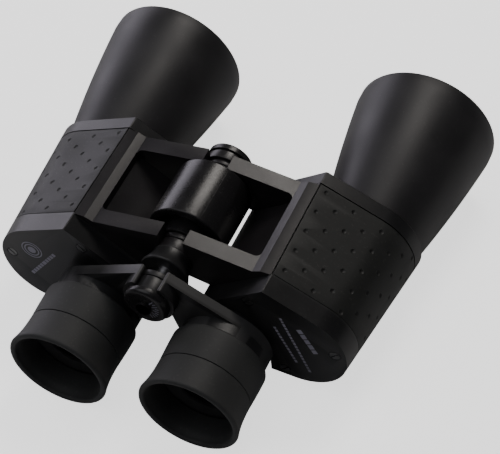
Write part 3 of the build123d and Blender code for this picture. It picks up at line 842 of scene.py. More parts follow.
class PaintBox:
    """Every finish of the instrument, made once and handed out by material slot."""

    FINISHES = {
        "frame_black": Finish("SatinFrame", (0.022, 0.020, 0.022), (0.10, 0.095, 0.09), 0.34, 0.05, wear_and_highlight=0.5),
        "barrel_black": Finish("MattBarrel", (0.026, 0.025, 0.027), (0.06, 0.06, 0.06), 0.46, 0.05, wear_and_highlight=0.3),
        "bridge_black": Finish("SatinBridge", (0.02, 0.02, 0.021), (0.09, 0.09, 0.09), 0.38, 0.06, wear_and_highlight=0.5),
        "anodised_black": Finish(
            "AnodisedBlack", (0.012, 0.012, 0.013), (0.05, 0.05, 0.05), 0.5, metallic=0.3
        ),
        "cover_black": Finish("CoverBlack", (0.014, 0.014, 0.015), (0.06, 0.06, 0.06), 0.36, 0.05, wear_and_highlight=0.4),
        "knob_black": Finish("KnobBlack", (0.016, 0.015, 0.016), (0.09, 0.085, 0.085), 0.27, 0.05, wear_and_highlight=0.5),
        "grip_rubber": Finish(
            "GripRubber", (0.018, 0.019, 0.018), (0.05, 0.05, 0.05), 0.52, 0.05,
            relief=Relief.DIMPLED, grain_scale=6500.0, grain_depth=0.000022, wear_and_highlight=0.25, dust=0.1,
        ),
        "eyecup_rubber": Finish(
            "EyecupRubber", (0.036, 0.037, 0.037), (0.05, 0.05, 0.05), 0.62, 0.05,
            relief=Relief.BRUSHED, grain_scale=3000.0, grain_depth=0.00004, wear_and_highlight=0.2, dust=0.1, sheen=0.05,
        ),
        "coated_glass": Finish(
            "CoatedGlass", (0.55, 0.5, 0.75), (0.6, 0.6, 0.8), 0.03, 0.01,
            coat=1.0, grain_depth=0.0, dust=0.02, glass=1.0, ior=1.55,
        ),
        "optical_glass": Finish(
            "OpticalGlass", (0.9, 0.95, 0.93), (0.9, 0.95, 0.93), 0.03, 0.01, grain_depth=0.0, dust=0.0,
            glass=1.0, ior=1.57,
        ),
        "spring_steel": Finish(
            "SpringSteel", (0.42, 0.42, 0.43), (0.6, 0.6, 0.6), 0.32, metallic=1.0, relief=Relief.BRUSHED,
            grain_scale=2500.0, grain_depth=0.00002,
        ),
        "blackened_steel": Finish(
            "BlackenedSteel", (0.05, 0.05, 0.052), (0.3, 0.3, 0.3), 0.3, metallic=0.9, wear_and_highlight=0.5
        ),
        "brass_insert": Finish(
            "BrassInsert", (0.68, 0.5, 0.24), (0.8, 0.65, 0.4), 0.3, metallic=1.0, relief=Relief.BRUSHED,
            grain_scale=2500.0, grain_depth=0.00002,
        ),
        "print_white": Finish("PrintWhite", (0.36, 0.35, 0.43), (0.6, 0.6, 0.6), 0.5, dust=0.0),
        "inner_black": Finish("InnerBlack", (0.006, 0.006, 0.006), (0.01, 0.01, 0.01), 0.8, dust=0.0),
    }

    def __init__(self) -> None:
        """Build the shader groups and every material."""
        groups = {
            "grain": grain_group(),
            "wear_and_highlight": edge_wear_and_highlight_group(),
            "dust": dust_group(),
            "dimple": dimple_shade_group(),
        }
        self.materials = {slot: finish.build(groups) for slot, finish in self.FINISHES.items()}

    def dress(self, piece: bpy.types.Object, slot: str) -> None:
        """Give a piece one finish all over.

        Args:
            piece: The object to dress.
            slot: The finish's slot name.
        """
        piece.data.materials.clear()
        piece.data.materials.append(self.materials[slot])

    def dress_frame_nodes(self) -> None:
        """Give every CAD node the finish of its own material slot."""
        for entry in frame["record"]["subparts"]:
            self.dress(frame["nodes"][entry["node"]], entry["material_slot"])


def fit(piece: bpy.types.Object, paints: PaintBox, body: str, slot: str, *nodes: str) -> None:
    """Dress a finished piece, put it on its body and let it stand for CAD nodes.

    Args:
        piece: The finished object.
        paints: The finishes.
        body: The CAD body that carries it.
        slot: The finish's slot name.
        *nodes: CAD nodes that the piece stands for.
    """
    paints.dress(piece, slot)
    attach(piece, body)
    if nodes:
        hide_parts(*nodes)
    LOG.info("%s: %d faces on %s", piece.name, len(piece.data.polygons), body)


# ---- sub-assemblies ----------------------------------------------------------------------------------


@dataclass
class ObjectiveTube:
    """The flared objective barrel, with its rolled rim and the ridged baffle inside it."""

    side: Side
    wall: float = 1.7 * MM
    lip: float = 0.9 * MM
    rim_land: float = 5.0 * MM
    belly: float = 3.5 * MM
    root_groove: float = 0.45 * MM
    baffle_ridges: int = 5
    baffle_depth: float = 0.35 * MM
    flare_steps: int = 26

    def build(self, paints: PaintBox) -> None:
        """Turn the barrel and fit it.

        Args:
            paints: The finishes.
        """
        node = f"objective_barrel_{self.side.tag}"
        barrel = Round.of(node)
        piece = lathe(f"barrel_{self.side.tag}", barrel.axis, self._section(barrel), segments=144)
        fit(piece, paints, self.side.half, "barrel_black", node)

    def _section(self, barrel: Round) -> Profile:
        """Work out the barrel's section.

        Args:
            barrel: The CAD barrel's axis, radius and ends.

        Returns:
            The closed section.
        """
        cover = Round.of(f"front_cover_{self.side.tag}")
        retainer = Round.of(f"objective_retainer_{self.side.tag}")
        cell = Round.of(f"objective_cell_{self.side.tag}")
        spigot = 19.0 * MM
        root = 21.5 * MM
        section: Profile = [
            (spigot - self.wall, barrel.rear),
            (spigot, barrel.rear),
            (spigot, cover.front + 0.05 * MM),
            (root - self.root_groove, cover.front + 0.05 * MM),
            (root, cover.front + self.root_groove),
        ]
        section += self._flare(root, cover.front + self.root_groove, barrel)
        inner_lip = barrel.radius - 2.0 * MM
        section += arc_points((barrel.radius - self.lip, barrel.front - self.lip), self.lip, 0, 90, 5)
        lip_centre = (inner_lip + self.lip / 2, barrel.front - self.lip / 2)
        section += arc_points(lip_centre, self.lip / 2, 90, 180, 4)
        section += self._baffle(inner_lip, barrel.front - self.lip, cell.radius, cell.front)
        section += [
            (cell.radius, cell.front),
            (cell.radius, cell.rear),
            (retainer.radius, cell.rear),
            (spigot - self.wall, cover.front),
        ]
        return section

    def _flare(self, root: float, root_y: float, barrel: Round) -> Profile:
        """Follow the barrel's soft flare from the cover to the straight rim."""
        land_y = barrel.front - self.rim_land
        bend = (barrel.radius - self.belly, (root_y + land_y) / 2)
        points: Profile = []
        for index in range(1, self.flare_steps + 1):
            t = index / self.flare_steps
            radius = (1 - t) ** 2 * root + 2 * t * (1 - t) * bend[0] + t * t * barrel.radius
            y = (1 - t) ** 2 * root_y + 2 * t * (1 - t) * bend[1] + t * t * land_y
            points.append((radius, y))
        return points

    def _baffle(self, radius: float, y: float, end_radius: float, end_y: float) -> Profile:
        """Cut anti-glare ridges down the inside of the rim."""
        points: Profile = [(radius, y)]
        for index in range(self.baffle_ridges):
            t = (index + 0.5) / self.baffle_ridges
            groove_y = y + (end_y - y) * t
            base = radius + (end_radius - radius) * t
            step = (y - end_y) / self.baffle_ridges / 4
            points += [
                (base, groove_y + step),
                (base + self.baffle_depth, groove_y),
                (base, groove_y - step / 4),
            ]
        return points


@dataclass
class PrismHousing:
    """The prism housing of one side: cast shell, hinge frame, covers and dimpled grip."""

    side: Side
    crease_x: float = 43.2 * MM
    crease_z: float = 66.7 * MM
    crease_radius: float = 0.6 * MM
    eyepiece_end: float = 17.5 * MM
    rear_end: tuple[float, float, float] = (55.5 * MM, 36.5 * MM, 21.7 * MM)
    front_end: tuple[float, float, float] = (60.0 * MM, 32.5 * MM, 24.2 * MM)
    rail_x: float = 34.95 * MM
    rail_z: float = 64.84 * MM
    bevel_x: float = 38.4 * MM
    bevel_z: float = 66.5 * MM
    arm_end_x: float = 5.6 * MM
    arm_end_z: float = 69.0 * MM
    arm_width: float = 7.25 * MM
    opening_corner: float = 2.6 * MM
    ring_radius: float = 8.0 * MM
    front_ring: float = 2.3 * MM
    gap: float = 0.3 * MM
    seam: float = 0.2 * MM
    edge: float = 0.7 * MM
    recess: float = 2.5 * MM
    screw_head: float = 2.2 * MM
    outer_screw_z: float = 39.2 * MM
    top_screw_x: float = 36.5 * MM
    bottom_screw_x: float = 50.0 * MM
    notch_x: float = 43.8 * MM
    notch_z: float = 23.6 * MM
    first_column: float = 3.9 * MM
    last_column: float = 60.0 * MM
    column_step: float = 6.7 * MM
    row_start: float = 0.1 * MM
    row_shift: float = 4.6 * MM
    row_step: float = 10.45 * MM
    dimple: float = 1.15 * MM
    dimple_depth: float = 0.42 * MM
    ball: float = 1.8 * MM

    def build(self, paints: PaintBox) -> None:
        """Build the shell with its frame, the two covers and the grip.

        Args:
            paints: The finishes.
        """
        self._build_shell(paints)
        self._build_front_cover(paints)
        self._build_rear_cover(paints)
        self._build_grip(paints)

    @cached_property
    def span(self) -> tuple[float, float]:
        """Y of the rear cover's rear face and of the front cover's front face."""
        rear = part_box(f"rear_cover_{self.side.tag}")[0].y
        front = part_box(f"front_cover_{self.side.tag}")[1].y
        return rear, front

    def _along(self, y: float) -> tuple[float, float, float]:
        """Return the outer end's (x, z, radius) at y, on the right-hand side."""
        rear, front = self.span
        share = (y - rear) / (front - rear)
        return tuple(a + share * (b - a) for a, b in zip(self.rear_end, self.front_end))

    def _outline(self, y: float, grow: float = 0.0) -> list[tuple[float, float]]:
        """Return the cross-section at y as (x, z) points.

        Args:
            y: Place along the instrument.
            grow: How far the section stands outside the housing's skin.

        Returns:
            The points, anticlockwise on the right and mirrored on the left.
        """
        tube = Round.of(f"eyepiece_tube_{self.side.tag}")
        x, z, radius = self._along(y)
        apex = self.crease_z - 1.17 * (self.crease_radius - grow)
        circles = [
            (abs(tube.x), tube.z, self.eyepiece_end + grow),
            (x, z, radius + grow),
            (self.crease_x, apex, self.crease_radius),
        ]
        return [(self.side.value * px, pz) for px, pz in wrap(circles, (28, 44, 4))]

    def _band(
        self, name: str, rear: float, front: float, grow: float = 0.0, front_grow: float | None = None
    ) -> bpy.types.Object:
        """Loft one band of the housing between two places along it.

        Args:
            name: The new piece's name.
            rear: Y of the rear end.
            front: Y of the front end.
            grow: How far the band stands outside the housing's skin.
            front_grow: The same at the front end, where it differs.

        Returns:
            The closed band.
        """
        end = grow if front_grow is None else front_grow
        return loft(name, [(rear, self._outline(rear, grow)), (front, self._outline(front, end))])

    def _build_shell(self, paints: PaintBox) -> None:
        """Build the cast shell and its hinge frame as one piece."""
        tag = self.side.tag
        low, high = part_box(f"housing_{tag}")
        grip_low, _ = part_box(f"grip_{tag}")
        sign = self.side.value
        core = self._band("core", low.y, high.y, -1.1 * MM)
        panel = self._band("panel", grip_low.y - self.seam, high.y)
        bisect(panel, (sign * (self.crease_x - self.seam), 0.0, 0.0), (sign, 0.0, 0.0))
        round_edges(panel, 0.3 * MM)
        parts = [core, panel, self._hinge_frame()]
        parts += self._rings_on_hinge()
        piece = join(parts, f"cast_housing_{tag}")
        smooth(piece, 38.0)
        fit(piece, paints, self.side.half, "frame_black", f"housing_{tag}")

    def _hinge_frame(self) -> bpy.types.Object:
        """Build the two arms and the rail that joins them beside the crease.

        Returns:
            The rounded frame.
        """
        sign = self.side.value
        tube = Round.of("hinge_tube_front")
        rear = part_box("hinge_rear_collar")[1].y + self.gap
        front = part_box("hinge_front_cap")[0].y
        outline = [
            (self.arm_end_x, self.arm_end_z),
            (self.rail_x, self.rail_z),
            (self.bevel_x, self.bevel_z),
            (self.crease_x - self.seam, self.crease_z - 0.1 * MM),
            (self.crease_x - self.seam, self.crease_z - 4.0 * MM),
            (self.rail_x, self.rail_z - 6.0 * MM),
            (19.0 * MM, 46.0 * MM),
            (self.arm_end_x, tube.z - self.ring_radius),
        ]
        frame_plate = plate("frame_plate", [(sign * x, z) for x, z in outline], rear, front)
        opening = block(
            "opening",
            (-self.rail_x, rear + self.arm_width, 0.03),
            (self.rail_x, front - self.arm_width, 0.09),
            self.opening_corner,
        )
        cut(frame_plate, opening)
        for span_rear, span_front in self._relief_spans():
            relief = lathe(
                "relief",
                tube.axis,
                [
                    (0.0, span_rear),
                    (self.ring_radius + self.gap, span_rear),
                    (self.ring_radius + self.gap, span_front),
                    (0.0, span_front),
                ],
                closed=False,
                segments=64,
            )
            cut(frame_plate, relief)
        round_edges(frame_plate, self.edge, 24.0)
        return frame_plate

    def _arm_spans(self) -> list[tuple[float, float]]:
        """Return the Y span of the rear arm and of the front arm."""
        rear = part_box("hinge_rear_collar")[1].y + self.gap
        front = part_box("hinge_front_cap")[0].y
        return [(rear, rear + self.arm_width), (front - self.arm_width, front)]

    def _relief_spans(self) -> list[tuple[float, float]]:
        """Return the Y spans in which this side makes room for the other side's rings."""
        spans = []
        for rear, front in self._arm_spans():
            split = front - self.front_ring
            if self.side is Side.LEFT:
                spans.append((rear - 0.001, split))
            else:
                spans.append((split - self.gap, front + 0.001))
        return spans

    def _rings_on_hinge(self) -> list[bpy.types.Object]:
        """Turn this side's two hinge rings.

        Returns:
            The rings.
        """
        tube = Round.of("hinge_tube_front")
        rings = []
        for rear, front in self._arm_spans():
            split = front - self.front_ring
            if self.side is Side.LEFT:
                span = (split, front)
            else:
                span = (rear, split - self.gap)
            rings.append(turned_ring("hinge_ring", tube.axis, tube.radius, self.ring_radius, span, 0.35 * MM))
        return rings

    def _build_front_cover(self, paints: PaintBox) -> None:
        """Build the front cover, with the dark seam behind it."""
        node = f"front_cover_{self.side.tag}"
        low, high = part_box(node)
        bevel = 0.9 * MM
        body = self._band("body", low.y + self.seam, high.y - bevel)
        tip = self._band("tip", high.y - bevel, high.y, 0.0, -bevel)
        body = join([body, tip], "body")
        edit_all(body)
        close_edit()
        smooth(body)
        body.name = f"front_cover_shell_{self.side.tag}"
        fit(body, paints, self.side.half, "cover_black", node)

    def _build_rear_cover(self, paints: PaintBox) -> None:
        """Build the rear cover, with its soft outer edge."""
        node = f"rear_cover_{self.side.tag}"
        low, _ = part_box(node)
        grip_low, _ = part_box(f"grip_{self.side.tag}")
        body = self._band("body", low.y, grip_low.y - self.seam)
        cut(body, self._notch(low.y))
        for place in self._screw_places():
            recess = lathe(
                "recess",
                place,
                [(0.0, low.y - MM), (self.recess, low.y - MM), (self.recess, low.y + MM), (0.0, low.y + MM)],
                closed=False,
                segments=32,
            )
            cut(body, recess)
        round_edges(body, 0.4 * MM, 28.0)
        body.name = f"rear_cover_shell_{self.side.tag}"
        fit(body, paints, self.side.half, "cover_black", node)

    def _screw_places(self) -> list[tuple[float, float]]:
        """Return the (x, z) of each cover screw, on the right-hand side mirrored where needed."""
        sign = self.side.value
        low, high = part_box(f"cover_screws_{self.side.tag}")
        outer_x = high.x if sign > 0 else low.x
        return [
            (outer_x - sign * self.screw_head, self.outer_screw_z),
            (sign * self.top_screw_x, high.z - self.screw_head),
            (sign * self.bottom_screw_x, low.z + self.screw_head),
        ]

    def _notch(self, rear: float) -> bpy.types.Object:
        """Make the tool that steps the cover's lower edge back beside the eyepiece.

        Args:
            rear: Y of the cover's rear face.

        Returns:
            The cutting tool.
        """
        tube = Round.of(f"eyepiece_tube_{self.side.tag}")
        inner, outer = sorted((self.side.value * 20.0 * MM, self.side.value * self.notch_x))
        tool = block("notch", (inner, rear - MM, 0.0), (outer, rear + 7.0 * MM, self.notch_z))
        span = (rear - 2 * MM, rear + 8.0 * MM)
        round_end = lathe(
            "round_end",
            tube.axis,
            [(0.0, span[0]), (self.eyepiece_end, span[0]), (self.eyepiece_end, span[1]), (0.0, span[1])],
            closed=False,
        )
        cut(tool, round_end)
        return tool

    def _build_grip(self, paints: PaintBox) -> None:
        """Build the rubber grip and unroll its surface for the dimples."""
        node = f"grip_{self.side.tag}"
        low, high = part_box(node)
        sign = self.side.value
        grip = self._band("grip", low.y, high.y - self.seam)
        bisect(grip, (sign * (self.crease_x + 1.5 * self.seam), 0.0, 0.0), (-sign, 0.0, 0.0))
        round_edges(grip, 0.35 * MM, 28.0, flatten=False)
        cut(grip, self._dimples(low.y, high.y))
        grip.data.shade_smooth()
        grip.data.set_sharp_from_angle(angle=math.radians(24))
        grip.name = f"dimpled_grip_{self.side.tag}"
        self._unroll(grip)
        fit(grip, paints, self.side.half, "grip_rubber", node)

    def _dimples(self, rear: float, front: float) -> bpy.types.Object:
        """Make the balls that press the dimples, on a slanting lattice round the grip.

        Args:
            rear: Y of the grip's rear end.
            front: Y of its front end.

        Returns:
            All the balls as one tool.
        """
        deselect_all()
        bpy.ops.mesh.primitive_uv_sphere_add(segments=16, ring_count=10, radius=self.ball)
        ball = bpy.context.active_object
        balls = []
        column = 0
        while self.first_column + column * self.column_step < self.last_column:
            girth = self.first_column + column * self.column_step
            shift = self.row_start + column * self.row_shift
            lowest = math.ceil((rear + self.dimple - shift) / self.row_step)
            highest = math.floor((front - self.dimple - shift) / self.row_step)
            for row in range(lowest, highest + 1):
                y = shift + row * self.row_step
                place, outward = self._skin(girth, y)
                centre = place + outward * (self.ball - self.dimple_depth)
                balls.append(copy_at(ball, centre))
            column += 1
        bpy.data.objects.remove(ball)
        return join(balls, "dimple_balls")

    def _skin(self, girth: float, y: float) -> tuple[Vector, Vector]:
        """Find a point on the skin from its distance round the section.

        Args:
            girth: Distance from the crease.
            y: Place along the instrument.

        Returns:
            The point and the outward normal.
        """
        x, z, radius = self._along(y)
        reach, slope = self._slope(y)
        normal = slope + math.pi / 2
        if girth < reach:
            px = self.crease_x + girth * math.cos(slope)
            pz = self.crease_z + girth * math.sin(slope)
        else:
            normal -= (girth - reach) / radius
            px = x + radius * math.cos(normal)
            pz = z + radius * math.sin(normal)
        sign = self.side.value
        return Vector((sign * px, y, pz)), Vector((sign * math.cos(normal), 0.0, math.sin(normal)))

    def _slope(self, y: float) -> tuple[float, float]:
        """Return the flat's length beside the crease at y, and its slope on the right-hand side."""
        x, z, radius = self._along(y)
        run = math.hypot(x - self.crease_x, z - self.crease_z)
        reach = math.sqrt(run * run - radius * radius)
        return reach, math.atan2(z - self.crease_z, x - self.crease_x) + math.asin(radius / run)

    def _unroll(self, grip: bpy.types.Object) -> None:
        """Store the distance from the crease round the section, and Y, in millimetres.

        Args:
            grip: The grip's mesh object.
        """
        layer = grip.data.uv_layers.new(name="Unrolled")
        for loop in grip.data.loops:
            point = grip.data.vertices[loop.vertex_index].co
            layer.data[loop.index].uv = (self._girth(point) / MM, point.y / MM)

    def _girth(self, point: Vector) -> float:
        """Return the distance round the section from the crease to a point."""
        x, z, radius = self._along(point.y)
        reach, slope = self._slope(point.y)
        place = Vector((abs(point.x), point.z))
        flat = Vector((math.cos(slope), math.sin(slope)))
        along = (place - Vector((self.crease_x, self.crease_z))).dot(flat)
        turn = slope + math.pi / 2 - math.atan2(place.y - z, place.x - x)
        if turn <= 0:
            return along
        return reach + radius * turn


def turned_ring(
    name: str,
    axis: tuple[float, float],
    bore: float,
    radius: float,
    span: tuple[float, float],
    edge: float,
) -> bpy.types.Object:
    """Turn a plain ring with rounded outer edges.

    Args:
        name: The new piece's name.
        axis: The ring's (x, z).
        bore: Inner radius.
        radius: Outer radius.
        span: Y of the rear and front faces.
        edge: Radius of the outer edges.

    Returns:
        The ring.
    """
    rear, front = span
    section: Profile = [(bore, rear)]
    section += arc_points((radius - edge, rear + edge), edge, -90, 0, 4)
    section += arc_points((radius - edge, front - edge), edge, 0, 90, 4)
    section.append((bore, front))
    return lathe(name, axis, section, segments=72)


@dataclass
class HingeLine:
    """Everything round on the hinge axis: front cap, tapered collar, focusing wheel and scale cap."""

    edge: float = 0.9 * MM
    dish: float = 13.2 * MM
    dish_depth: float = 2.2 * MM
    hub: float = 9.0 * MM
    seam_height: float = 0.09 * MM
    seam_turn: float = 28.0
    scale_marks: int = 9
    cap_length: float = 3.4 * MM
    groove: float = 0.6 * MM

    def build(self, paints: PaintBox) -> None:
        """Build and fit each piece on the hinge line.

        Args:
            paints: The finishes.
        """
        self._build_wheel(paints)
        self._build_front_cap(paints)
        self._build_collar(paints)
        self._build_scale_cap(paints)

    def _build_wheel(self, paints: PaintBox) -> None:
        """Turn the focusing wheel with its dished ends and hub."""
        wheel = Round.of("focus_wheel")
        nut = Round.of("focus_nut")
        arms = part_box("hinge_front_cap")[0].y - 7.2 * MM
        drum_front = arms - 1.4 * MM
        drum_rear = wheel.rear + 3.9 * MM
        soft = 0.7 * MM
        section: Profile = [(nut.radius, wheel.rear), (self.hub - 0.4 * MM, wheel.rear)]
        section += [(self.hub, wheel.rear + 0.4 * MM), (self.hub, drum_rear + self.dish_depth)]
        section += [(self.dish - 0.4 * MM, drum_rear + self.dish_depth), (self.dish, drum_rear + 0.3 * MM)]
        section += arc_points((self.dish + 0.3 * MM, drum_rear + 0.3 * MM), 0.3 * MM, 180, 270, 3)
        section += arc_points((wheel.radius - soft, drum_rear + soft), soft, -90, 0, 7)
        section += arc_points((wheel.radius - soft, drum_front - soft), soft, 0, 90, 7)
        section += [(self.dish, drum_front), (self.dish - 0.4 * MM, drum_front - self.dish_depth)]
        section += [(self.hub, drum_front - self.dish_depth), (self.hub, wheel.front)]
        section += [(nut.radius, wheel.front)]
        drum = lathe("drum", wheel.axis, section, segments=144)
        line = self._mould_line(wheel, drum_rear + 2.0 * MM, drum_front - 2.0 * MM)
        piece = join([drum, line], "focusing_wheel")
        fit(piece, paints, "focus_drive", "knob_black", "focus_wheel")

    def _mould_line(self, wheel: Round, rear: float, front: float) -> bpy.types.Object:
        """Lay the thin raised line that the mould leaves along the drum.

        Args:
            wheel: The wheel's axis, radius and ends.
            rear: Y of the line's rear end.
            front: Y of its front end.

        Returns:
            The line.
        """
        half = 0.16 * MM
        line = block(
            "mould_line",
            (-half, rear, wheel.radius - 0.3 * MM),
            (half, front, wheel.radius + self.seam_height),
        )
        round_edges(line, 0.06 * MM)
        line.rotation_euler = (0.0, math.radians(self.seam_turn), 0.0)
        line.location = (wheel.x, 0.0, wheel.z)
        settle(line)
        return line

    def _build_front_cap(self, paints: PaintBox) -> None:
        """Turn the front cap with its groove and soft edge."""
        cap = Round.of("hinge_front_cap")
        socket = Round.of("tripod_socket")
        groove_y = cap.rear + 4.2 * MM
        half = 0.45 * MM
        section: Profile = [(socket.radius, cap.rear)]
        section += arc_points((cap.radius - 0.8 * MM, cap.rear + 0.3 * MM), 0.3 * MM, -90, 0, 3)
        section += [
            (cap.radius - 0.5 * MM, groove_y - half),
            (cap.radius - 0.5 * MM - self.groove, groove_y - half),
            (cap.radius - 0.5 * MM - self.groove, groove_y + half),
            (cap.radius, groove_y + half),
        ]
        section += arc_points((cap.radius - self.edge, cap.front - self.edge), self.edge, 0, 90, 5)
        section += [(socket.radius + 0.6 * MM, cap.front), (socket.radius, cap.front - 0.4 * MM)]
        piece = lathe("hinge_cap_front", cap.axis, section, segments=96)
        fit(piece, paints, "left_half", "knob_black", "hinge_front_cap")

    def _build_collar(self, paints: PaintBox) -> None:
        """Turn the tapered collar behind the rear arm."""
        collar = Round.of("hinge_rear_collar")
        tube = Round.of("hinge_tube_rear")
        waist = 8.4 * MM
        section: Profile = [(tube.radius, collar.rear)]
        section += arc_points((collar.radius - self.edge, collar.rear + self.edge), self.edge, -90, 0, 5)
        steps = 8
        for index in range(1, steps + 1):
            t = index / steps
            radius = collar.radius + (waist - collar.radius) * math.sin(t * math.pi / 2)
            section.append((radius, collar.rear + self.edge + (collar.front - collar.rear - self.edge) * t))
        section.append((tube.radius, collar.front))
        piece = lathe("hinge_collar_rear", collar.axis, section, segments=96)
        fit(piece, paints, "left_half", "bridge_black", "hinge_rear_collar")

    def _build_scale_cap(self, paints: PaintBox) -> None:
        """Turn the domed scale cap and lay its plain scale marks."""
        cap = Round.of("ipd_scale_cap")
        spindle_stud = 3.0 * MM
        dome = 1.9 * MM
        face = cap.front - self.cap_length
        section: Profile = [(spindle_stud, cap.front), (cap.radius - 0.3 * MM, cap.front)]
        section.append((cap.radius, cap.front - 0.3 * MM))
        section += arc_points((cap.radius - dome, face + dome), dome, 0, -84, 8)
        section += [(6.9 * MM, face), (6.7 * MM, face + 0.25 * MM), (1.5 * MM, face + 0.25 * MM)]
        section += [(1.3 * MM, face + 0.7 * MM), (0.0, face + 0.7 * MM)]
        section += [(0.0, cap.front - 4.5 * MM), (spindle_stud, cap.front - 4.5 * MM)]
        piece = lathe("scale_cap", cap.axis, section, segments=96)
        fit(piece, paints, "left_ocular", "knob_black", "ipd_scale_cap")
        marks = []
        for index in range(self.scale_marks):
            angle = math.radians(-62 + 112 * index / (self.scale_marks - 1))
            inner = 3.6 * MM if index % 2 == 0 else 4.7 * MM
            marks.append(self._mark(cap, face, angle, inner, 6.3 * MM))
        print_marks = join(marks, "scale_marks")
        fit(print_marks, paints, "left_ocular", "print_white")

    @staticmethod
    def _mark(cap: Round, face: float, angle: float, inner: float, outer: float) -> bpy.types.Object:
        """Lay one radial mark on the cap's rear face.

        Args:
            cap: The scale cap's axis, radius and ends.
            face: Y of its rear face.
            angle: The mark's direction.
            inner: Radius at which it starts.
            outer: Radius at which it ends.

        Returns:
            The mark.
        """
        middle = (inner + outer) / 2
        half_length = (outer - inner) / 2
        half_width = 0.16 * MM
        along = Vector((math.cos(angle), math.sin(angle)))
        across = Vector((-along.y, along.x))
        centre = Vector(cap.axis) + along * middle
        outline = []
        for reach, turn in ((1, 1), (-1, 1), (-1, -1), (1, -1)):
            corner = centre + along * half_length * reach + across * half_width * turn
            outline.append((corner.x, corner.y))
        return plate("mark", outline, face + 0.21 * MM, face + 0.4 * MM)


@dataclass
class OcularArm:
    """One arm of the ocular bridge: a scooped plate with a ring round the eyepiece."""

    side: Side
    ring: float = 18.5 * MM
    end_x: float = 4.67 * MM
    end_z: float = 66.0 * MM
    foot: float = 5.0 * MM
    tip: float = 1.0 * MM
    rim: float = -0.6 * MM
    scoop: float = 4.6 * MM
    boss_reach: float = 11.0 * MM
    hinge_ring: float = 8.0 * MM
    front_ring: float = 2.5 * MM
    gap: float = 0.3 * MM

    def build(self, paints: PaintBox) -> None:
        """Build the arm and fit it.

        Args:
            paints: The finishes.
        """
        node = f"ocular_arm_{self.side.tag}"
        low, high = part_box(node)
        tube = Round.of(f"eyepiece_tube_{self.side.tag}")
        spindle = Round.of("focus_spindle")
        arm = hull("arm", self._outline(low.y, 0.0) + self._outline(high.y, 0.0))
        behind = self._outline(low.y - 2.0 * MM, self.rim)
        scoop = hull("scoop", behind + self._outline(low.y + self.scoop, self.rim))
        keep_ring = self._disc(tube.axis, self.ring, low.y - 0.004, high.y)
        cut(scoop, keep_ring)
        keep_boss = self._disc(spindle.axis, self.boss_reach, low.y - 0.004, high.y)
        cut(scoop, keep_boss)
        cut(arm, scoop)
        split = high.y - self.front_ring
        if self.side is Side.LEFT:
            relief = (low.y - 0.001, split)
            ring = (split, high.y)
        else:
            relief = (split - self.gap, high.y + 0.001)
            ring = (low.y, split - self.gap)
        cut(arm, self._disc(spindle.axis, self.hinge_ring + self.gap, *relief))
        cut(arm, self._disc(tube.axis, tube.radius - 3.4 * MM, low.y - 0.001, high.y + 0.001))
        round_edges(arm, 0.4 * MM, 28.0)
        boss = turned_ring("boss", spindle.axis, 5.0 * MM, self.hinge_ring, ring, 0.35 * MM)
        piece = join([arm, boss], f"bridge_arm_{self.side.tag}")
        smooth(piece, 38.0)
        fit(piece, paints, self.side.ocular, "bridge_black", node)

    def _outline(self, y: float, inset: float) -> list[tuple[float, float, float, float]]:
        """Return the circles that the arm's outline wraps at y."""
        sign = self.side.value
        tube = Round.of(f"eyepiece_tube_{self.side.tag}")
        spindle = Round.of("focus_spindle")
        return [
            (tube.x, y, tube.z, self.ring - inset),
            (sign * (self.end_x + self.tip + inset), y, self.end_z - self.tip - inset, self.tip),
            (sign * (self.end_x + self.foot), y, spindle.z - self.foot, self.foot - inset),
        ]

    @staticmethod
    def _disc(axis: tuple[float, float], radius: float, rear: float, front: float) -> bpy.types.Object:
        """Turn a plain disc to cut with."""
        return lathe(
            "disc", axis, [(0.0, rear), (radius, rear), (radius, front), (0.0, front)],
            closed=False, segments=96,
        )


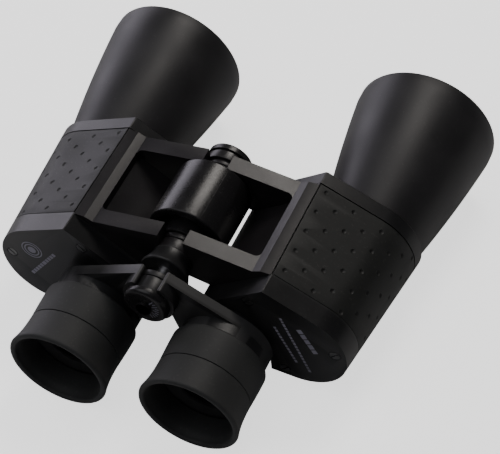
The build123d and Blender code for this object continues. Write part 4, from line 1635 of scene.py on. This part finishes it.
@dataclass
class Eyepiece:
    """One eyepiece: the rubber-sleeved ring and the flared rubber eyecup."""

    side: Side
    lip: float = 1.25 * MM
    waist: float = 19.9 * MM
    opening: float = 18.8 * MM
    soft: float = 1.2 * MM

    def build(self, paints: PaintBox) -> None:
        """Turn the ring and the eyecup and fit them.

        Args:
            paints: The finishes.
        """
        self._build_ring(paints)
        self._build_eyecup(paints)

    def _build_ring(self, paints: PaintBox) -> None:
        """Turn the sleeved ring, slightly fuller than the eyecup's waist."""
        node = "eyepiece_collar" if self.side is Side.LEFT else "diopter_ring"
        body = "left_ocular" if self.side is Side.LEFT else "diopter_drive"
        ring = Round.of(node)
        bore = 16.0 * MM
        corner = 0.15 * MM
        section: Profile = [(bore, ring.rear), (self.waist - corner, ring.rear)]
        section += [(self.waist, ring.rear + corner)]
        steps = 8
        for index in range(1, steps + 1):
            t = index / steps
            radius = self.waist + (ring.radius - self.waist) * math.sin(t * math.pi / 2)
            section.append((radius, ring.rear + (ring.front - self.soft - ring.rear) * t))
        section += arc_points((ring.radius - self.soft, ring.front - self.soft), self.soft, 0, 90, 6)
        section.append((bore, ring.front))
        piece = lathe(f"sleeved_ring_{self.side.tag}", ring.axis, section, segments=128)
        fit(piece, paints, body, "eyecup_rubber", node)

    def _build_eyecup(self, paints: PaintBox) -> None:
        """Turn the eyecup: a waist, a flare, a rolled lip and a stepped inside."""
        node = f"eyecup_{self.side.tag}"
        cup = Round.of(node)
        flange = 17.4 * MM
        seat = cup.front - 2.4 * MM
        section: Profile = [(flange, cup.front), (self.waist - 0.15 * MM, cup.front)]
        section.append((self.waist, cup.front - 0.15 * MM))
        steps = 14
        lip_y = cup.rear + self.lip
        for index in range(1, steps + 1):
            t = index / steps
            swell = t**2.6
            radius = self.waist + (cup.radius - self.waist) * swell
            section.append((radius, cup.front + (lip_y - cup.front) * t))
        section += arc_points((cup.radius - self.lip, lip_y), self.lip, 0, -180, 12)
        section += [
            (self.opening, lip_y + 1.2 * MM),
            (self.opening - 0.5 * MM, lip_y + 2.2 * MM),
            (self.opening - 0.6 * MM, lip_y + 5.0 * MM),
            (flange, seat),
        ]
        piece = lathe(f"flared_eyecup_{self.side.tag}", cup.axis, section, segments=128)
        fit(piece, paints, self.side.eyepiece, "eyecup_rubber", node)


@dataclass
class CoverPrint:
    """Plain printed marks on the rear covers, in place of any lettering."""

    side: Side
    thickness: float = 0.04 * MM

    def build(self, paints: PaintBox) -> None:
        """Lay the marks and fit them.

        Args:
            paints: The finishes.
        """
        low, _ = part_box(f"rear_cover_{self.side.tag}")
        marks = self._ring_and_bar(low.y) if self.side is Side.LEFT else self._bars(low.y)
        piece = join(marks, f"cover_print_{self.side.tag}")
        fit(piece, paints, self.side.half, "print_white")

    def _dash(
        self, centre: tuple[float, float], slope: float, length: float, height: float, y: float
    ) -> bpy.types.Object:
        """Lay one dash.

        Args:
            centre: The dash's middle as (x, z).
            slope: Its direction in degrees.
            length: Its length.
            height: Its height.
            y: Y of the cover's rear face.

        Returns:
            The dash.
        """
        angle = math.radians(slope)
        along = Vector((math.cos(angle), math.sin(angle)))
        across = Vector((-along.y, along.x))
        outline = []
        for reach, turn in ((1, 1), (-1, 1), (-1, -1), (1, -1)):
            corner = Vector(centre) + along * length / 2 * reach + across * height / 2 * turn
            outline.append((corner.x, corner.y))
        return plate("dash", outline, y - self.thickness, y + 0.2 * MM)

    def _row(
        self, start: tuple[float, float], slope: float, lengths: Sequence[float], height: float, y: float
    ) -> list[bpy.types.Object]:
        """Lay a row of dashes with even gaps.

        Args:
            start: Where the row begins, as (x, z).
            slope: Its direction in degrees.
            lengths: The dashes' lengths.
            height: Their height.
            y: Y of the cover's rear face.

        Returns:
            The dashes.
        """
        angle = math.radians(slope)
        step = 0.55 * MM
        reach = 0.0
        dashes = []
        for length in lengths:
            middle = reach + length / 2
            centre = (start[0] + math.cos(angle) * middle, start[1] + math.sin(angle) * middle)
            dashes.append(self._dash(centre, slope, length, height, y))
            reach += length + step
        return dashes

    def _bars(self, y: float) -> list[bpy.types.Object]:
        """Lay three rows of dashes on the right-hand cover."""
        rows = self._row((57.4 * MM, 49.1 * MM), -62.0, [2.4 * MM, 2.6 * MM] * 2 + [2.2 * MM], 2.2 * MM, y)
        rows += self._row((49.9 * MM, 53.0 * MM), -70.0, [1.3 * MM, 1.0 * MM, 1.6 * MM] * 6, 1.1 * MM, y)
        rows += self._row((47.0 * MM, 46.0 * MM), -67.0, [1.1 * MM, 1.5 * MM] * 6, 1.1 * MM, y)
        return rows

    def _ring_and_bar(self, y: float) -> list[bpy.types.Object]:
        """Lay a plain ring over a short row of dashes on the left-hand cover."""
        centre = (-61.8 * MM, 45.1 * MM)
        span = (y - self.thickness, y + 0.2 * MM)
        rings = []
        for inner, outer in ((4.3, 4.8), (2.9, 3.5), (0.0, 1.9)):
            rings.append(turned_ring("ring", centre, inner * MM, outer * MM, span, 0.01 * MM))
        lengths = [1.7 * MM] * 5 + [2.4 * MM] + [1.7 * MM] * 4
        rows = self._row((-64.6 * MM, 28.6 * MM), 53.0, lengths, 1.7 * MM, y)
        return rings + rows


@dataclass
class TripodSocket:
    """The threaded insert in the hinge's front cap."""

    turns: int = 5
    pitch: float = 1.27 * MM
    crest: float = 0.35 * MM

    def build(self, paints: PaintBox) -> None:
        """Turn the insert with thread-like grooves and fit it.

        Args:
            paints: The finishes.
        """
        socket = Round.of("tripod_socket")
        bore = 2.6 * MM
        section: Profile = [(0.0, socket.rear), (socket.radius, socket.rear), (socket.radius, socket.front)]
        section.append((bore + 0.6 * MM, socket.front))
        y = socket.front - 0.3 * MM
        for _ in range(self.turns):
            section += [(bore, y), (bore + self.crest, y - self.pitch / 2)]
            y -= self.pitch
        section += [(bore, y), (0.0, y)]
        piece = lathe("tripod_insert", socket.axis, section, closed=False, segments=64)
        fit(piece, paints, "left_half", "brass_insert", "tripod_socket")


@dataclass
class Studio:
    """The pale floor, the soft lights and the camera."""

    azimuth: float = 29.15
    elevation: float = 50.51
    roll: float = -6.43
    distance: float = 642.71 * MM
    target: tuple[float, float, float] = (22.29 * MM, -10.96 * MM, 57.56 * MM)
    lens: float = 115.73
    sensor: float = 36.0
    floor_pitch: float = 4.35
    floor_glow: float = 1.5
    world_strength: float = 0.04
    aim_height: float = 40.0 * MM

    def build(self) -> None:
        """Set the floor, the lights and the camera."""
        self._build_floor()
        self._build_world()
        self._build_lights()
        self._build_camera()

    def _build_floor(self) -> None:
        """Lay a pale floor that touches the objective rims and the eyecups."""
        deselect_all()
        bpy.ops.mesh.primitive_plane_add(size=8.0)
        floor = bpy.context.active_object
        floor.name = "floor"
        rim = Round.of("objective_barrel_right")
        pitch = -math.radians(self.floor_pitch)
        turn = Matrix.Rotation(pitch, 4, "X")
        touch = Vector((0.0, rim.front, 0.0))
        floor.matrix_world = Matrix.Translation(touch) @ turn @ Matrix.Translation((0.0, 0.0, -0.0002))
        material = bpy.data.materials.new("PaleFloor")
        material.use_nodes = True
        shader = material.node_tree.nodes["Principled BSDF"]
        shader.inputs["Base Color"].default_value = (0.8, 0.8, 0.8, 1.0)
        shader.inputs["Roughness"].default_value = 0.7
        shader.inputs["Specular IOR Level"].default_value = 0.1
        shader.inputs["Emission Color"].default_value = (1.0, 1.0, 1.0, 1.0)
        seen = material.node_tree.nodes.new("ShaderNodeLightPath")
        glow = material.node_tree.nodes.new("ShaderNodeMath")
        glow.operation = "MULTIPLY"
        glow.inputs[1].default_value = self.floor_glow
        material.node_tree.links.new(seen.outputs["Is Camera Ray"], glow.inputs[0])
        material.node_tree.links.new(glow.outputs[0], shader.inputs["Emission Strength"])
        floor.data.materials.append(material)

    def _build_world(self) -> None:
        """Fill the surroundings with a soft pale light."""
        world = bpy.data.worlds.new("Studio")
        bpy.context.scene.world = world
        world.use_nodes = True
        background = world.node_tree.nodes["Background"]
        background.inputs["Color"].default_value = (0.93, 0.95, 1.0, 1.0)
        background.inputs["Strength"].default_value = self.world_strength

    def _build_lights(self) -> None:
        """Hang the soft boxes."""
        self._softbox("front_top", (0.06, 0.56, 0.82), 0.34, 2.6, (1.0, 0.95, 0.9))
        self._softbox("left_wall", (-1.0, 0.5, 0.12), 0.9, 5.6, (0.93, 0.88, 1.0))
        self._softbox("overhead", (-0.35, -0.25, 1.1), 1.1, 3.4, (0.97, 0.97, 1.0))

    def _softbox(
        self,
        name: str,
        place: tuple[float, float, float],
        size: float,
        power: float,
        tint: tuple[float, float, float],
    ) -> None:
        """Hang one square soft box that faces the instrument.

        Args:
            name: The light's name.
            place: Where it hangs.
            size: Its side.
            power: Its power in watts.
            tint: Its colour.
        """
        light = bpy.data.lights.new(name, "AREA")
        light.shape = "SQUARE"
        light.size = size
        light.energy = power
        light.color = tint
        lamp = bpy.data.objects.new(name, light)
        bpy.context.scene.collection.objects.link(lamp)
        lamp.location = place
        aim = Vector((0.0, 0.0, self.aim_height)) - Vector(place)
        lamp.rotation_euler = aim.to_track_quat("-Z", "Y").to_euler()

    def _build_camera(self) -> None:
        """Place the camera."""
        azimuth = math.radians(self.azimuth)
        elevation = math.radians(self.elevation)
        back = Vector(
            (
                math.sin(azimuth) * math.cos(elevation),
                -math.cos(azimuth) * math.cos(elevation),
                math.sin(elevation),
            )
        )
        level = Vector((math.cos(azimuth), math.sin(azimuth), 0.0))
        upright = back.cross(level)
        roll = math.radians(self.roll)
        right = level * math.cos(roll) + upright * math.sin(roll)
        up = upright * math.cos(roll) - level * math.sin(roll)
        camera = bpy.data.cameras.new("camera")
        camera.lens = self.lens
        camera.sensor_width = self.sensor
        camera.clip_start = 0.02
        stand = bpy.data.objects.new("camera", camera)
        bpy.context.scene.collection.objects.link(stand)
        turn = Matrix((right, up, back)).transposed().to_4x4()
        stand.matrix_world = Matrix.Translation(Vector(self.target) + back * self.distance) @ turn
        bpy.context.scene.camera = stand


def main() -> None:
    """Dress the frame and build every sub-assembly in order."""
    logging.basicConfig(level=logging.INFO, format="%(relativeCreated)d %(name)s: %(message)s")
    paints = PaintBox()
    paints.dress_frame_nodes()
    for side in Side:
        ObjectiveTube(side).build(paints)
        PrismHousing(side).build(paints)
        CoverPrint(side).build(paints)
        OcularArm(side).build(paints)
        Eyepiece(side).build(paints)
    HingeLine().build(paints)
    TripodSocket().build(paints)
    Studio().build()


if __name__ == "__main__":
    main()
